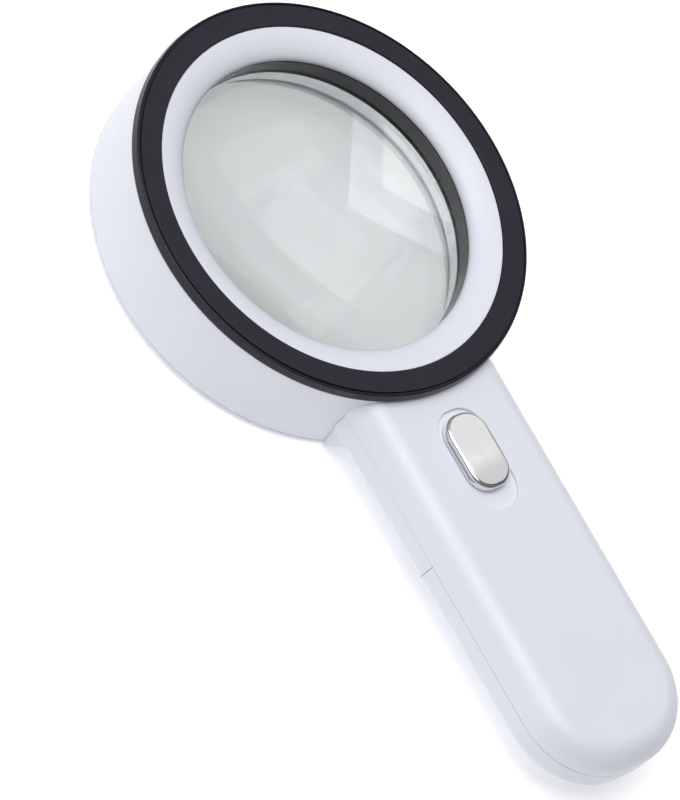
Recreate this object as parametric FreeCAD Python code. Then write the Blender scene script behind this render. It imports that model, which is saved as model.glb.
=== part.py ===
"""Illuminated hand magnifier: a doublet lens in a round LED head on a flat battery handle.

Origin: on the lens axis, in the plane that the LED side of the head rests on.
+Z is the lens axis towards the reader's eye, the handle runs along -Y, +X is to the right.
All lengths are in millimetres.
"""
import FreeCAD, Part
import math
import os

V = FreeCAD.Vector
Z_AXIS = V(0, 0, 1)

# ---- driving dimensions -------------------------------------------------------------------
HEAD_R = 54.0             # outside of the round head wall
HEAD_DEPTH = 27.0         # rest plane to the face of the trim ring
HEAD_WALL = 2.2
RIM_DEPTH = 2.0           # LED-side rim of the back shell
RIM_ROUND = 1.5

TRIM_DEPTH = 2.65
TRIM_INNER_R = 47.41
TRIM_FOOT_R = 54.36       # the trim ring stands a little proud of the wall below it

FUNNEL_INNER_R = 39.86
FUNNEL_DROP = 4.28        # trim face to the inner edge of the funnel
FUNNEL_SHOULDER = 0.5     # trim face to the outer edge of the funnel
FUNNEL_BULGE = 0.8        # height of its curve over a straight slope
FUNNEL_FLANGE_R = 51.0
FUNNEL_LEG_R = (45.6, 47.0)  # leg that stands on the web
FUNNEL_WALL = 1.35

LENS_R = 41.9
LENS_EDGE = 2.5
LENS_SAG = 3.0
APERTURE_R = 40.0
LOWER_LENS_Z = 5.6        # under face of each lens edge
UPPER_LENS_Z = 14.8
BARREL_R = 43.3

LED_COUNT = 12
LED_PITCH_R = 46.6
LED_R = 2.4
LED_DOME_Z = 4.7          # centre of the dome
LEAD_PITCH = 2.54
CUP_MOUTH_R = 3.5
CUP_TOP_R = 2.7

HANDLE_W = 45.7
HANDLE_START_Y = -30.0    # inside the head, where the handle's form begins
HANDLE_TAIL_Y = -155.4
HANDLE_BACK_Z = 7.4
HANDLE_FRONT_Z = 23.7
HANDLE_CORNER_R = 20.3    # plan radius of the two tail corners
FRONT_EDGE_R = 6.4
BACK_EDGE_R = 3.8
WALL = 1.8
PARTING_Z = 15.7
NECK_HALF_W = (20.9, 22.3)   # at the rim and at the handle: the neck tapers towards the rim
NECK_TOP_Z = 10.5
DOOR_Y = -91.2            # joint between the back shell and the battery door
DOOR_GAP = 0.3

BUTTON_W = 12.4
BUTTON_L = 20.4
BUTTON_Y = -71.2
BUTTON_TRAVEL = 4.0
BUTTON_TOP_Z = 25.8
RECESS_DEPTH = 0.8
RECESS_MARGIN = 0.9
RECESS_HEAD_GAP = 1.7

CELL_R = 5.25             # AAA cell
CELL_L = 44.5
CELL_PITCH = 11.1
CELL_Z = 15.1
PLATE_T = 0.4

FIT = 0.1                 # assembly clearance between fixed pieces
WALL_GAP = 0.12           # joint line between the head wall and the back shell
SLIDE_GAP = 0.3           # clearance round pieces that slide

LENS_CURVE_R = (LENS_R ** 2 + LENS_SAG ** 2) / (2 * LENS_SAG)
# height of a lens face over the edge of the aperture, above the lens's own edge
LENS_BED = math.sqrt(LENS_CURVE_R ** 2 - APERTURE_R ** 2) - math.sqrt(LENS_CURVE_R ** 2 - LENS_R ** 2)
SEAT_Z = LOWER_LENS_Z - LENS_BED

TRIM_FACE_Z = HEAD_DEPTH
TRIM_FOOT_Z = HEAD_DEPTH - TRIM_DEPTH
WALL_INNER_R = HEAD_R - HEAD_WALL
WEB_Z = (18.6, 20.0)      # web that joins the head wall to the lens barrel
BARREL_TOP_Z = 22.3
SEAT_T = 1.5
COVER_Z = (0.6, 1.7)
COVER_RIM_R = 51.0
BOARD_Z = (6.5, 8.1)
REFLECTOR_TOP_Z = 6.4
REFLECTOR_R = 50.4
SNAP_COUNT = 6
FAR = 400.0


# ---- shape helpers ------------------------------------------------------------------------
def box(x0, x1, y0, y1, z0, z1):
    return Part.makeBox(x1 - x0, y1 - y0, z1 - z0, V(x0, y0, z0))


def cyl(r, z0, z1, x=0.0, y=0.0):
    return Part.makeCylinder(r, z1 - z0, V(x, y, z0))


def cyl_y(r, y0, y1, x, z):
    return Part.makeCylinder(r, y1 - y0, V(x, y0, z), V(0, 1, 0))


def ring(r_in, r_out, z0, z1):
    return cyl(r_out, z0, z1).cut(cyl(r_in, z0 - 1, z1 + 1))


def spun(points):
    """Solid of revolution about Z of a closed outline of (radius, z) points."""
    corners = [V(r, 0, z) for r, z in points]
    face = Part.Face(Part.makePolygon(corners + corners[:1]))
    return face.revolve(V(0, 0, 0), Z_AXIS, 360)


def turned(shape, degrees):
    copy = shape.copy()
    copy.rotate(V(0, 0, 0), Z_AXIS, degrees)
    return copy


def polar(shape, count, first=0.0):
    return [turned(shape, first + 360.0 * i / count) for i in range(count)]


def joined(shapes):
    first, rest = shapes[0], list(shapes[1:])
    return first.fuse(rest).removeSplitter() if rest else first


def rounded_pad(width, length, corner, z0, z1, y=0.0):
    pad = box(-width / 2, width / 2, y - length / 2, y + length / 2, z0, z1)
    upright = [e for e in pad.Edges if abs(e.BoundBox.ZLength - (z1 - z0)) < 1e-6]
    return pad.makeFillet(corner, upright)


def handle_body(inset):
    """The handle's outer form, moved inwards by inset on every side but the head end."""
    half = HANDLE_W / 2 - inset
    tail = HANDLE_TAIL_Y + inset
    r = HANDLE_CORNER_R - inset
    z0 = HANDLE_BACK_Z + inset
    z1 = HANDLE_FRONT_Z - inset
    body = box(-half, half, tail, HANDLE_START_Y, z0, z1)
    corners = [e for e in body.Edges if e.BoundBox.ZLength > 1 and e.BoundBox.YMax < tail + 1]
    body = body.makeFillet(r, corners)

    def rim(z):
        level = [e for e in body.Edges if e.BoundBox.ZLength < 1e-3 and abs(e.BoundBox.ZMax - z) < 1e-3]
        return [e for e in level if e.BoundBox.YMin < HANDLE_START_Y - 1]

    front = rim(z1)
    body = body.makeFillet(FRONT_EDGE_R - inset, front)
    return body.makeFillet(BACK_EDGE_R - inset, rim(z0))


def screw(x, y, seat_z, tip_z, shank_r, head_r, head_h):
    """Pan-head screw driven along +Z: the head lies below seat_z, the tip at tip_z."""
    head = cyl(head_r, seat_z - head_h, seat_z, x, y)
    outer_edge = [e for e in head.Edges if abs(e.BoundBox.ZMax - seat_z + head_h) < 1e-6]
    head = head.makeFillet(head_h * 0.45, outer_edge)
    slot_half, arm = 0.16 * head_r, 0.62 * head_r
    depth = seat_z - head_h * 0.45
    cross = joined([
        box(x - arm, x + arm, y - slot_half, y + slot_half, seat_z - head_h - 1, depth),
        box(x - slot_half, x + slot_half, y - arm, y + arm, seat_z - head_h - 1, depth),
    ])
    shank = cyl(shank_r, seat_z, tip_z - shank_r, x, y)
    tip = Part.makeCone(shank_r, shank_r * 0.2, shank_r, V(x, y, tip_z - shank_r))
    return joined([head.cut(cross), shank, tip])


def wire(points, r):
    """Round insulated wire: straight runs joined by tangent arcs."""
    pts = [V(*p) for p in points]
    edges, here = [], pts[0]
    for a, corner, b in zip(pts, pts[1:], pts[2:]):
        u, w = (corner - a), (b - corner)
        run = min(u.Length, w.Length)
        u.normalize()
        w.normalize()
        half_turn = u.getAngle(w) / 2
        trim = 0.45 * run
        radius = trim / math.tan(half_turn)
        inward = (w - u).normalize()
        middle = corner + inward * (radius / math.cos(half_turn) - radius)
        start, end = corner - u * trim, corner + w * trim
        edges.append(Part.LineSegment(here, start).toShape())
        edges.append(Part.Arc(start, middle, end).toShape())
        here = end
    edges.append(Part.LineSegment(here, pts[-1]).toShape())
    spine = Part.Wire(edges)
    section = Part.Wire([Part.Circle(pts[0], pts[1] - pts[0], r).toShape()])
    return spine.makePipeShell([section], True, False)


# ---- head: shells and trim ------------------------------------------------------------------
def snap_hook(z_root, z_tip, r_in, r_out, reach, width):
    """Flat snap arm at angle 0 with a hook that points outwards at its tip."""
    low, high = min(z_root, z_tip), max(z_root, z_tip)
    arm = ring(r_in, r_out, low, high)
    hook_low = z_tip if z_tip < z_root else z_tip - 1.0
    hook = ring(r_in, r_out + reach, hook_low, hook_low + 1.0)
    return joined([arm, hook]).common(box(0, FAR, -width / 2, width / 2, -FAR, FAR))


TRIM_TAB_Z = (20.7, TRIM_FOOT_Z)
RIM_TAB_Z = (RIM_DEPTH, 4.4)
TAB_R = (50.2, 51.5)
RIM_TAB_IN_R = 50.65
TAB_REACH = 0.6
TAB_W = 7.0
TRIM_TABS_AT = 30.0
RIM_TABS_AT = 0.0


def trim_ring():
    """Black face ring, snapped into the head wall."""
    z0, z1 = TRIM_FOOT_Z, TRIM_FACE_Z
    band = spun([
        (TRIM_INNER_R, z0), (TRIM_INNER_R, z1 - 0.15), (TRIM_INNER_R + 0.15, z1),
        (HEAD_R - 0.4, z1), (HEAD_R, z1 - 0.35), (TRIM_FOOT_R, z0 + 0.2), (TRIM_FOOT_R - 0.2, z0),
    ])
    tab = snap_hook(TRIM_TAB_Z[1] + 0.5, TRIM_TAB_Z[0], *TAB_R, TAB_REACH, TAB_W)
    return joined([band] + polar(tab, SNAP_COUNT, TRIM_TABS_AT))


def funnel_bezel():
    """White ring that rolls from the trim ring down to the lens opening."""
    outer = V(TRIM_INNER_R - FIT, 0, TRIM_FACE_Z - FUNNEL_SHOULDER)
    inner = V(FUNNEL_INNER_R, 0, TRIM_FACE_Z - FUNNEL_DROP)
    chord = inner - outer
    crest = (outer + inner) * 0.5 + V(chord.z, 0, -chord.x).normalize() * FUNNEL_BULGE
    roll = Part.Arc(inner, crest, outer).toShape()
    lip_z = BARREL_TOP_Z + FIT
    leg_in, leg_out = FUNNEL_LEG_R
    flange_z = TRIM_FOOT_Z - FIT
    under = [(outer.x, flange_z), (FUNNEL_FLANGE_R, flange_z), (FUNNEL_FLANGE_R, flange_z - FUNNEL_WALL),
             (leg_out, flange_z - FUNNEL_WALL), (leg_out, WEB_Z[1]), (leg_in, WEB_Z[1]), (leg_in, 23.2),
             (BARREL_R + 0.3, lip_z), (FUNNEL_INNER_R, lip_z)]
    corners = [outer] + [V(r, 0, z) for r, z in under] + [inner]
    section = Part.Face(Part.Wire([roll] + Part.makePolygon(corners).Edges))
    bezel = section.revolve(V(0, 0, 0), Z_AXIS, 360)
    notch = box(TAB_R[0] - SLIDE_GAP, FAR, -TAB_W / 2 - SLIDE_GAP, TAB_W / 2 + SLIDE_GAP, 22, 25)
    return bezel.cut(polar(notch, SNAP_COUNT, TRIM_TABS_AT))


POST_AT = (30.0, 150.0, 210.0, 330.0)   # each midway between two LEDs
POST_R = 2.0
POST_PITCH_R = 47.6
BOARD_SCREW_R = 0.9
WIRE_GATE = (9.0, 8.6, 15.2)   # half width, low z and high z of the opening into the neck


def post_places():
    return [(POST_PITCH_R * math.cos(math.radians(a)), POST_PITCH_R * math.sin(math.radians(a)))
            for a in POST_AT]


def head_shell():
    """Round wall, web, lens barrel and lens seat, with posts for the LED board."""
    pieces = [
        ring(WALL_INNER_R, HEAD_R, RIM_DEPTH + 0.05, TRIM_FOOT_Z - 0.05),
        ring(BARREL_R - 1.0, WALL_INNER_R + 0.5, *WEB_Z),
        ring(LENS_R + 0.2, BARREL_R, SEAT_Z - SEAT_T, BARREL_TOP_Z),
        ring(APERTURE_R, BARREL_R, SEAT_Z - SEAT_T, SEAT_Z),
    ]
    pieces += [cyl(POST_R, BOARD_Z[1], WEB_Z[0] + 0.5, x, y) for x, y in post_places()]
    shell = joined(pieces)
    pilot_r = BOARD_SCREW_R + 0.05
    shell = shell.cut([cyl(pilot_r, BOARD_Z[1] - 1, WEB_Z[0] - 1, x, y) for x, y in post_places()])
    catch_r = (TAB_R[1] - 0.5, TAB_R[1] + TAB_REACH + SLIDE_GAP)
    window = box(0, FAR, -TAB_W / 2 - 0.4, TAB_W / 2 + 0.4, 0, FAR)
    catch = ring(*catch_r, TRIM_TAB_Z[0] - 0.3, TRIM_TAB_Z[0] + 1.1).common(window)
    rim_catch = ring(*catch_r, RIM_TAB_Z[1] - 1.1, RIM_TAB_Z[1] + 0.3).common(window)
    shell = shell.cut(polar(catch, SNAP_COUNT, TRIM_TABS_AT) + polar(rim_catch, SNAP_COUNT, RIM_TABS_AT))
    half, low, high = WIRE_GATE
    return shell.cut(box(-half, half, -HEAD_R - 2, -WALL_INNER_R + 6, low, high))


# ---- handle: shells, switch and battery door --------------------------------------------------
SHELL_SCREWS = [(-14.0, -86.5), (14.0, -86.5)]
SHELL_SCREW_R = 1.1
SCREW_SEAT_Z = 11.0
SCREW_WELL_R = 2.9
BOSS_SPLIT_Z = 13.4
BOSS_R = 3.0
BACK_BOSS_R = 3.8
BOARD_POSTS = [(-12.0, -64.5), (12.0, -79.0)]
BOARD_POST_R = 2.2
SWITCH_BOARD_Z = (10.6, 12.0)
RECESS_FLOOR_T = 1.6
RECESS_FLOOR_Z = HANDLE_FRONT_Z - RECESS_DEPTH
FLOOR_UNDER_Z = RECESS_FLOOR_Z - RECESS_FLOOR_T
STEM_W = 4.4
STEM_L = 8.0
RAIL_X = (18.1, 19.1)
RAIL_LIP_X = 20.4
RAIL_LIP_Z = (11.9, 13.0)
RAIL_Y = (-128.0, -96.0)
TRAY_Y = (-143.4, -93.8)
TRAY_SCREW_Y = -147.6
TRAY_LUG_Z = (16.4, 18.0)


def recess_span():
    """Head-end and tail-end y of the button's recess."""
    head = BUTTON_Y + BUTTON_L / 2 + RECESS_HEAD_GAP
    tail = BUTTON_Y - BUTTON_L / 2 - BUTTON_TRAVEL - RECESS_MARGIN
    return head, tail


def recess(grow, z0, z1):
    head, tail = recess_span()
    width = BUTTON_W + 2 * RECESS_MARGIN + 2 * grow
    return rounded_pad(width, head - tail + 2 * grow, width * 0.44, z0, z1, (head + tail) / 2)


def front_shell():
    """One moulding: the head wall with the lens barrel, and the front half of the handle."""
    outside_head = cyl(HEAD_R - 0.8, -1, FAR)
    cavity = handle_body(WALL)
    half = handle_body(0).common(box(-FAR, FAR, -FAR, 0, PARTING_Z, FAR)).cut(cavity)
    lumps = [half, recess(WALL, FLOOR_UNDER_Z, HANDLE_FRONT_Z - WALL + 0.4)]
    lumps += [cyl(BOSS_R, BOSS_SPLIT_Z, HANDLE_FRONT_Z - 1, x, y) for x, y in SHELL_SCREWS]
    lumps += [cyl(BOARD_POST_R, SWITCH_BOARD_Z[1], HANDLE_FRONT_Z - 1, x, y) for x, y in BOARD_POSTS]
    lumps.append(cyl(BOSS_R, TRAY_LUG_Z[1], HANDLE_FRONT_Z - 1, 0, TRAY_SCREW_Y))
    inside = handle_body(0.6)
    for side in (-1, 1):
        wall_x = sorted(side * x for x in RAIL_X)
        lip_x = sorted((side * RAIL_X[0], side * RAIL_LIP_X))
        rail = box(*wall_x, *RAIL_Y, RAIL_LIP_Z[0], HANDLE_FRONT_Z)
        lumps.append(joined([rail, box(*lip_x, *RAIL_Y, *RAIL_LIP_Z)]).common(inside))
    handle = joined(lumps).cut(outside_head)
    shell = joined([head_shell(), handle])
    slot_w = STEM_W + 2 * SLIDE_GAP
    slot_head = BUTTON_Y + STEM_L / 2 + SLIDE_GAP
    slot_tail = BUTTON_Y - STEM_L / 2 - BUTTON_TRAVEL - SLIDE_GAP
    holes = [recess(0, RECESS_FLOOR_Z, FAR), box(-slot_w / 2, slot_w / 2, slot_tail, slot_head, 0, FAR)]
    holes += [cyl(SHELL_SCREW_R + 0.05, BOSS_SPLIT_Z - 1, 20.5, x, y) for x, y in SHELL_SCREWS]
    holes += [cyl(BOARD_SCREW_R + 0.05, SWITCH_BOARD_Z[1] - 1, 19.5, x, y) for x, y in BOARD_POSTS]
    holes.append(cyl(BOARD_SCREW_R + 0.05, TRAY_LUG_Z[1] - 1, 22.3, 0, TRAY_SCREW_Y))
    return shell.cut(holes)


LABEL_RECESS = (17.0, 21.0, 1.5, 0.3, -73.0)   # width, length, corner, depth, centre y
TONGUE_W = 2.8             # two tongues, each under the gap between two cells
TONGUE_Z = (9.6, 10.8)
TONGUE_X = (-CELL_PITCH / 2, CELL_PITCH / 2)
BULKHEAD_TOP_Z = 12.2


def back_shell():
    """One moulding: the LED-side rim with snap arms, the neck and the handle's back half up to the door."""
    rim = spun([(49.9, 0), (HEAD_R, 0), (HEAD_R, RIM_DEPTH), (51.1, RIM_DEPTH), (51.1, 0.55), (49.9, 0.55)])
    low_edge = [e for e in rim.Edges if e.BoundBox.ZMax < 1e-6 and e.BoundBox.XMax > HEAD_R - 0.1]
    rim = rim.makeFillet(RIM_ROUND, low_edge)
    tab = snap_hook(RIM_TAB_Z[0] - 0.5, RIM_TAB_Z[1], RIM_TAB_IN_R, TAB_R[1], TAB_REACH, TAB_W)
    foot = ring(RIM_TAB_IN_R, 52.0, RIM_DEPTH - 1.2, RIM_DEPTH)
    foot = foot.common(box(0, FAR, -TAB_W / 2, TAB_W / 2, 0, FAR))
    foot = foot.cut(cyl(51.1, -1, COVER_Z[1] + 0.05))
    clear_r = HEAD_R + WALL_GAP
    neck = spun([(53.0, 0.7), (54.9, 1.0), (58.4, HANDLE_BACK_Z), (61.5, NECK_TOP_Z), (clear_r, NECK_TOP_Z),
                 (clear_r, RIM_DEPTH), (53.0, RIM_DEPTH)])
    low, high = NECK_HALF_W
    flank = Part.makePolygon([V(-low, 0, 0), V(low, 0, 0), V(high, 0, NECK_TOP_Z), V(-high, 0, NECK_TOP_Z),
                              V(-low, 0, 0)])
    neck = neck.common(Part.Face(flank).extrude(V(0, -FAR, 0)))
    cavity = handle_body(WALL)
    half = handle_body(0).common(box(-FAR, FAR, DOOR_Y, 0, 0, PARTING_Z))
    half = half.cut(cavity.cut(cyl(HEAD_R + 2.0, -1, FAR)))
    bulkhead = box(-FAR, FAR, DOOR_Y, DOOR_Y + 1.5, 0, BULKHEAD_TOP_Z).common(handle_body(0.6))
    bosses = [cyl(BACK_BOSS_R, HANDLE_BACK_Z + 0.6, BOSS_SPLIT_Z - FIT, x, y) for x, y in SHELL_SCREWS]
    half = joined([half, bulkhead] + bosses).cut(cyl(clear_r, -1, FAR))
    shell = joined([rim, neck, half] + polar(joined([tab, foot]), SNAP_COUNT, RIM_TABS_AT))
    width, length, corner, depth, y = LABEL_RECESS
    gate_half, gate_low, gate_high = WIRE_GATE
    holes = [
        rounded_pad(width, length, corner, 0, HANDLE_BACK_Z + depth, y),
        box(-gate_half, gate_half, -HEAD_R - 6, -HEAD_R + 5, gate_low + 1.0, gate_high),
    ]
    for x in TONGUE_X:
        holes.append(box(x - TONGUE_W / 2 - 0.4, x + TONGUE_W / 2 + 0.4, DOOR_Y - 1, DOOR_Y + 3,
                         TONGUE_Z[0] - 0.4, TONGUE_Z[1] + 0.4))
    for x, y in SHELL_SCREWS:
        holes.append(cyl(SHELL_SCREW_R + 0.4, 0, FAR, x, y))
        holes.append(cyl(SCREW_WELL_R, 0, SCREW_SEAT_Z, x, y))
    return shell.cut(holes)


GRIP_RIBS = 5
GRIP_PITCH = 2.2
GRIP_HALF_W = 8.5
GRIP_BACK = 12.0           # door's front edge to the middle of the thumb grip
DISH_R = 36.0
DISH_DEPTH = 0.9


def battery_door():
    """Back half of the handle behind the door joint; it slides off towards the tail on two rails."""
    top = PARTING_Z - DOOR_GAP
    front = DOOR_Y - DOOR_GAP
    door = handle_body(0).common(box(-FAR, FAR, -FAR, front, 0, top)).cut(handle_body(WALL))
    ribs = []
    for side in (-1, 1):
        x = sorted((side * (RAIL_X[1] + 0.4), side * (HANDLE_W / 2 - 1)))
        ribs.append(box(*x, RAIL_Y[0] + 1, RAIL_Y[1] - 1, RAIL_LIP_Z[1] + SLIDE_GAP, RAIL_LIP_Z[1] + 1.5))
    tongues = []
    for x in TONGUE_X:
        x0, x1 = x - TONGUE_W / 2, x + TONGUE_W / 2
        tongues.append(box(x0, x1, front - 4, front + 3.6, *TONGUE_Z))
        tongues.append(box(x0, x1, front - 4, front - 0.4, HANDLE_BACK_Z + 1, TONGUE_Z[1]))
    door = joined([door] + tongues + ribs)
    grip_y = front - GRIP_BACK
    dish_at = V(-GRIP_HALF_W - 1.5, grip_y, HANDLE_BACK_Z + DISH_DEPTH - DISH_R)
    dish = Part.makeCylinder(DISH_R, 2 * GRIP_HALF_W + 3, dish_at, V(1, 0, 0))
    ridge_z = (HANDLE_BACK_Z + 0.1, HANDLE_BACK_Z + 1.2)
    ridges = []
    for i in range(GRIP_RIBS):
        y = grip_y + GRIP_PITCH * (i - (GRIP_RIBS - 1) / 2)
        ridges.append(box(-GRIP_HALF_W, GRIP_HALF_W, y - 0.45, y + 0.45, *ridge_z))
    return joined([door.cut(dish)] + ridges)


# ---- optics -----------------------------------------------------------------------------------
def lens(z):
    """Biconvex lens whose edge stands on z."""
    top = z + LENS_EDGE + LENS_SAG
    bottom = z - LENS_SAG
    upper = Part.makeSphere(LENS_CURVE_R, V(0, 0, top - LENS_CURVE_R))
    lower = Part.makeSphere(LENS_CURVE_R, V(0, 0, bottom + LENS_CURVE_R))
    return cyl(LENS_R, bottom - 1, top + 1).common(upper).common(lower)


def lens_retainer():
    """Black ring that holds the upper lens down; three notches take a spanner."""
    z0 = UPPER_LENS_Z + LENS_EDGE + LENS_BED
    body = ring(APERTURE_R + 0.1, LENS_R + 0.1, z0, BARREL_TOP_Z)
    notch = box(LENS_R - 0.9, FAR, -1.5, 1.5, BARREL_TOP_Z - 1.2, FAR)
    return body.cut(polar(notch, 3, 90))


def lens_spacer():
    low = LOWER_LENS_Z + LENS_EDGE + LENS_BED
    return ring(APERTURE_R + 0.1, LENS_R, low, UPPER_LENS_Z - LENS_BED)


# ---- light ring -------------------------------------------------------------------------------
LED_FIRST = 15.0
DIMPLE_R = 2.6
DIMPLE_DEPTH = 0.65
REFLECTOR_IN_R = 41.5
BOARD_OUT_R = 51.2


def led_places():
    step = 360.0 / LED_COUNT
    return [(LED_PITCH_R * math.cos(math.radians(LED_FIRST + step * i)),
             LED_PITCH_R * math.sin(math.radians(LED_FIRST + step * i)), LED_FIRST + step * i)
            for i in range(LED_COUNT)]


def led_cover():
    """Clear annular window with an inner and an outer upstand and a dimple between each pair of LEDs."""
    z0, z1 = COVER_Z
    in_r, out_r = APERTURE_R + FIT, COVER_RIM_R
    plate = spun([(in_r, z0), (out_r, z0), (out_r, 2.9), (out_r - 0.5, 2.9), (out_r - 0.5, z1),
                  (in_r + 1.2, z1), (in_r + 1.2, SEAT_Z - SEAT_T), (in_r, SEAT_Z - SEAT_T)])
    relief = ring(50.45, 52, 1.4, 3.5).common(box(0, FAR, -TAB_W / 2 - 0.4, TAB_W / 2 + 0.4, 0, 5))
    dimple = Part.makeSphere(DIMPLE_R, V(LED_PITCH_R, 0, z0 + DIMPLE_DEPTH - DIMPLE_R))
    return plate.cut(polar(dimple, LED_COUNT, 0.0) + polar(relief, SNAP_COUNT, RIM_TABS_AT))


def led_reflector():
    """White moulded ring with a conical cup for each LED."""
    z0 = COVER_Z[1] + 0.05
    step_z = SEAT_Z - SEAT_T - FIT
    body = spun([(REFLECTOR_IN_R, z0), (REFLECTOR_R, z0), (REFLECTOR_R, REFLECTOR_TOP_Z),
                 (BARREL_R + 0.3, REFLECTOR_TOP_Z), (BARREL_R + 0.3, step_z), (REFLECTOR_IN_R, step_z)])
    cups = []
    for x, y, _ in led_places():
        cups.append(Part.makeCone(CUP_MOUTH_R, CUP_TOP_R, step_z - 0.5 - z0, V(x, y, z0)))
        cups.append(cyl(CUP_TOP_R, step_z - 0.6, REFLECTOR_TOP_Z + 1, x, y))
    cups += [cyl(2.1, BOARD_Z[0] - 1.5, REFLECTOR_TOP_Z + 1, x, y) for x, y in post_places()]
    return body.cut(cups)


def led_board():
    board = ring(BARREL_R + 0.4, BOARD_OUT_R, *BOARD_Z)
    holes = [cyl(BOARD_SCREW_R + 0.2, 0, 20, x, y) for x, y in post_places()]
    holes += [cyl(0.42, 0, 20, x, y) for x, y in lead_places()]
    return board.cut(holes)


def lead_places():
    spots = []
    for x, y, angle in led_places():
        along = math.radians(angle + 90)
        for side in (-LEAD_PITCH / 2, LEAD_PITCH / 2):
            spots.append((x + side * math.cos(along), y + side * math.sin(along)))
    return spots


def leds():
    """5 mm round LEDs, dome down, with a flange at the board end."""
    bodies = []
    for x, y, _ in led_places():
        flange = cyl(LED_R + 0.2, BOARD_Z[0] - 0.8, BOARD_Z[0] - 0.1, x, y)
        barrel = cyl(LED_R, LED_DOME_Z, BOARD_Z[0] - 0.5, x, y)
        dome = Part.makeSphere(LED_R, V(x, y, LED_DOME_Z)).common(box(-FAR, FAR, -FAR, FAR, 0, LED_DOME_Z))
        bodies.append(joined([flange, barrel, dome]))
    return bodies


def led_leads():
    return [cyl(0.25, BOARD_Z[0] - 0.1, BOARD_Z[1] + 1.4, x, y) for x, y in lead_places()]


def led_resistors():
    chip = box(LED_PITCH_R - 0.8, LED_PITCH_R + 0.8, -1.6, 1.6, BOARD_Z[1], BOARD_Z[1] + 0.6)
    return polar(chip, 4, 0.0)


def board_screws():
    return [screw(x, y, BOARD_Z[0], 15.0, BOARD_SCREW_R, 1.7, 1.1) for x, y in post_places()]


# ---- switch -----------------------------------------------------------------------------------
BUTTON_FOOT_Z = RECESS_FLOOR_Z + 0.25
CARRIER_Z = (FLOOR_UNDER_Z - SLIDE_GAP - 1.4, FLOOR_UNDER_Z - SLIDE_GAP)
SWITCH_Z = (SWITCH_BOARD_Z[1], 16.0)
SWITCH_W = 7.0
SWITCH_L = 13.4
LEVER_W = 3.0
LEVER_L = 2.0
PEG_R = 1.5
PEG_OFFSETS = (-2.3, 2.3)
BUTTON_EDGE_R = 0.9
FORK_HALF_W = 3.4
FORK_BRIDGE_Z = 18.2


def slide_button():
    """Polished pill with a stem that passes through the slot and two pegs that hold the carrier."""
    pill = rounded_pad(BUTTON_W, BUTTON_L, BUTTON_W * 0.44, BUTTON_FOOT_Z, BUTTON_TOP_Z, BUTTON_Y)
    top = [e for e in pill.Edges if e.BoundBox.ZMin > BUTTON_TOP_Z - 1e-3]
    pill = pill.makeFillet(BUTTON_EDGE_R, top)
    stem_y = (BUTTON_Y - STEM_L / 2, BUTTON_Y + STEM_L / 2)
    stem = box(-STEM_W / 2, STEM_W / 2, *stem_y, CARRIER_Z[1], BUTTON_FOOT_Z + 0.5)
    pegs = [cyl(PEG_R, CARRIER_Z[0] - 0.3, CARRIER_Z[1] + 0.5, 0, BUTTON_Y + d) for d in PEG_OFFSETS]
    return joined([pill, stem] + pegs)


def slide_carrier():
    """Plate under the handle's face that keeps the button in, with a fork round the switch lever."""
    plate = rounded_pad(9.6, 15.0, 1.5, *CARRIER_Z, BUTTON_Y)
    plate = plate.cut([cyl(PEG_R + 0.05, 0, FAR, 0, BUTTON_Y + d) for d in PEG_OFFSETS])
    leg_z = (SWITCH_Z[1] + 0.4, CARRIER_Z[0] + 0.1)
    legs = []
    for side in (-1, 1):
        near = BUTTON_Y + side * (LEVER_L / 2 + 0.1)
        leg_y = sorted((near, near + side * 1.1))
        for x in (-FORK_HALF_W, FORK_HALF_W - 1.6):
            legs.append(box(x, x + 1.6, *leg_y, *leg_z))
    bridge = [box(-FORK_HALF_W, FORK_HALF_W, *sorted((BUTTON_Y + s * 1.1, BUTTON_Y + s * 2.2)),
                  SWITCH_Z[1] + 0.4, FORK_BRIDGE_Z) for s in (-1, 1)]
    return joined([plate] + legs + bridge)


def switch_centre_y():
    return BUTTON_Y - BUTTON_TRAVEL / 2


def switch_case():
    """Metal can of the slide switch, open along the top for its lever."""
    y = switch_centre_y()
    can = box(-SWITCH_W / 2, SWITCH_W / 2, y - SWITCH_L / 2, y + SWITCH_L / 2, *SWITCH_Z)
    room = box(-SWITCH_W / 2 + 0.6, SWITCH_W / 2 - 0.6, y - SWITCH_L / 2 + 0.6, y + SWITCH_L / 2 - 0.6,
               SWITCH_Z[0] + 0.5, SWITCH_Z[1] - 0.5)
    reach = LEVER_L / 2 + BUTTON_TRAVEL / 2 + SLIDE_GAP
    slot = box(-LEVER_W / 2 - SLIDE_GAP, LEVER_W / 2 + SLIDE_GAP, y - reach, y + reach, SWITCH_Z[1] - 1, FAR)
    return can.cut([room, slot])


def switch_lever():
    foot = box(-2.5, 2.5, BUTTON_Y - 2.0, BUTTON_Y + 2.0, SWITCH_Z[0] + 0.9, SWITCH_Z[0] + 2.2)
    post_y = (BUTTON_Y - LEVER_L / 2, BUTTON_Y + LEVER_L / 2)
    post = box(-LEVER_W / 2, LEVER_W / 2, *post_y, SWITCH_Z[0] + 2.0, 18.8)
    return joined([foot, post])


SWITCH_BOARD_Y = (-82.2, -61.2)
SWITCH_BOARD_HALF_W = 14.6


def switch_pin_places():
    y = switch_centre_y()
    return [(x, y + d) for x in (-2.2, 2.2) for d in (-4.0, 0.0, 4.0)]


def switch_board():
    board = box(-SWITCH_BOARD_HALF_W, SWITCH_BOARD_HALF_W, *SWITCH_BOARD_Y, *SWITCH_BOARD_Z)
    holes = [cyl(BOARD_SCREW_R + 0.2, 0, 30, x, y) for x, y in BOARD_POSTS]
    holes += [cyl(0.6, 0, 30, x, y) for x, y in switch_pin_places()]
    return board.cut(holes)


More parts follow.
